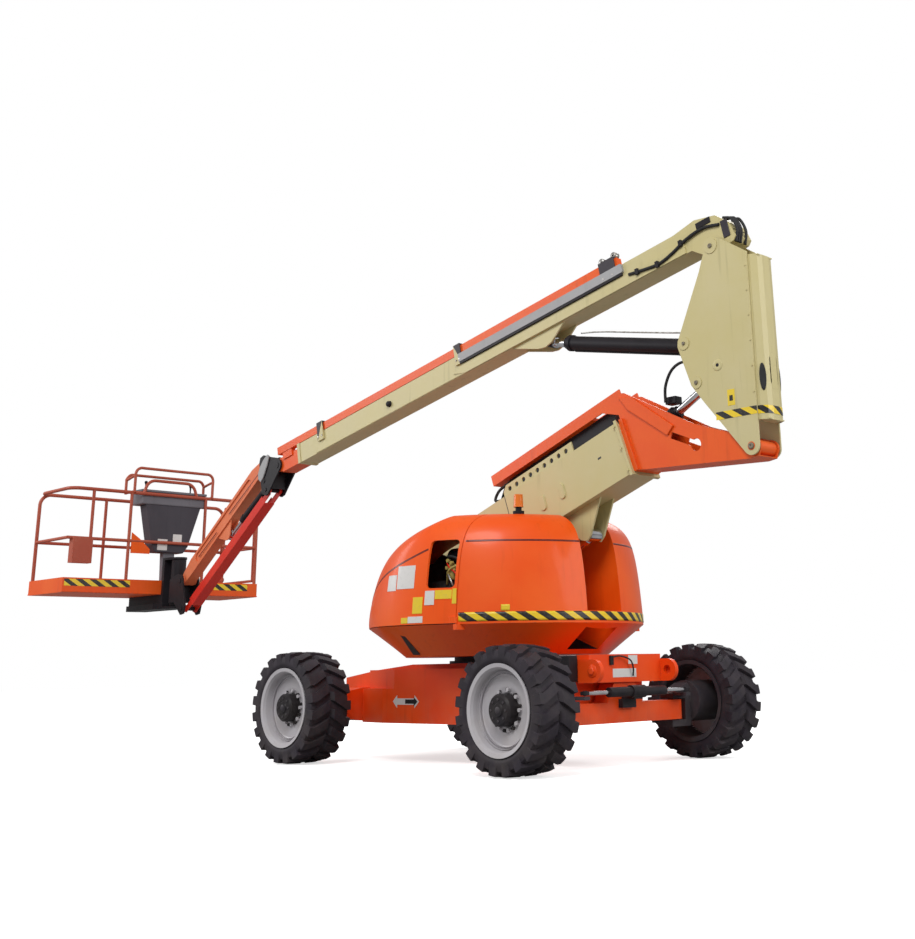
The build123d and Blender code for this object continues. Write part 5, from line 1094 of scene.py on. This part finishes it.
# %% Floor, lamps and world
FLOOR_REACH, FLOOR_Z, LAMP_SIZE = 60, -0.002, 6.0
corners = [(x * FLOOR_REACH, y * FLOOR_REACH, FLOOR_Z) for x, y in ((-1, -1), (1, -1), (1, 1), (-1, 1))]
floor_mesh = bpy.data.meshes.new("floor")
floor_mesh.from_pydata(corners, [], [(0, 1, 2, 3)])
floor = bpy.data.objects.new("floor", floor_mesh)
bpy.context.scene.collection.objects.link(floor)
floor_mat = bpy.data.materials.new("pale floor")
floor_mat.use_nodes = True
ft = floor_mat.node_tree
fs = ft.nodes["Principled BSDF"]
direct = ft.nodes.new("ShaderNodeLightPath").outputs["Is Camera Ray"]
ft.links.new(blend_colour(ft, direct, (0.34, 0.34, 0.34), (1.0, 1.0, 1.0)), fs.inputs["Base Color"])
ft.links.new(blend_colour(ft, direct, (0.0, 0.0, 0.0), (0.62, 0.62, 0.62)), fs.inputs["Emission Color"])
for label, value in (("Emission Strength", 1.0), ("Roughness", 0.9), ("Specular IOR Level", 0.1)):
    fs.inputs[label].default_value = value
floor_mesh.materials.append(floor_mat)

world = bpy.data.worlds.new("studio")
bpy.context.scene.world = world
world.use_nodes = True
wt = world.node_tree
background = wt.nodes["Background"]
path = wt.nodes.new("ShaderNodeLightPath").outputs
seen = maths(wt, "MAXIMUM", path["Is Camera Ray"], path["Is Transmission Ray"])
background.inputs["Color"].default_value = (1, 1, 1, 1)
wt.links.new(scaled(wt, seen, 0.58, 0.42), background.inputs["Strength"])


def soft_lamp(name, place, target, power):
    """A round lamp at a place, turned to face a target."""
    data = bpy.data.lights.new(name, "AREA")
    data.shape, data.size, data.energy = "DISK", LAMP_SIZE, power
    lamp = bpy.data.objects.new(name, data)
    bpy.context.scene.collection.objects.link(lamp)
    lamp.location = place
    lamp.rotation_mode = "QUATERNION"
    lamp.rotation_quaternion = (Vector(target) - Vector(place)).to_track_quat("-Z", "Y")


soft_lamp("key lamp", (6.0, -9.0, 11.0), (-0.5, 0, 1.8), 1050)
soft_lamp("side lamp", (10.0, 3.0, 5.0), (0, 0, 1.5), 350)
soft_lamp("left lamp", (-9.0, -7.0, 6.0), (-2.5, 0, 2), 420)
soft_lamp("back lamp", (-4.0, 9.0, 8.0), (0, 0, 2), 350)
print("lamps:", len(bpy.data.lights))

# %% Camera
CAMERA_AT, SENSOR, LENS = [7.690, -7.388, 0.697], 36.0, 48.4907348
turn, pitch, roll = math.radians(44.316), math.radians(17.326), math.radians(-1.149)
forward = np.array([-math.sin(turn) * math.cos(pitch), math.cos(turn) * math.cos(pitch), math.sin(pitch)])
level = np.array([math.cos(turn), math.sin(turn), 0.0])
lifted = np.cross(level, forward)
right = level * math.cos(roll) + lifted * math.sin(roll)
above = -level * math.sin(roll) + lifted * math.cos(roll)
camera_data = bpy.data.cameras.new("camera")
camera = bpy.data.objects.new("camera", camera_data)
bpy.context.scene.collection.objects.link(camera)
camera.matrix_world = Matrix(np.vstack([np.column_stack([right, above, -forward, CAMERA_AT]), [0, 0, 0, 1]]).tolist())
camera_data.sensor_width, camera_data.lens = SENSOR, LENS
camera_data.shift_x, camera_data.shift_y = -0.0813, -0.2100
camera_data.clip_end = 200
bpy.context.scene.camera = camera
bpy.context.scene.view_settings.view_transform = "Standard"
print("camera at", [round(v, 3) for v in camera.location])
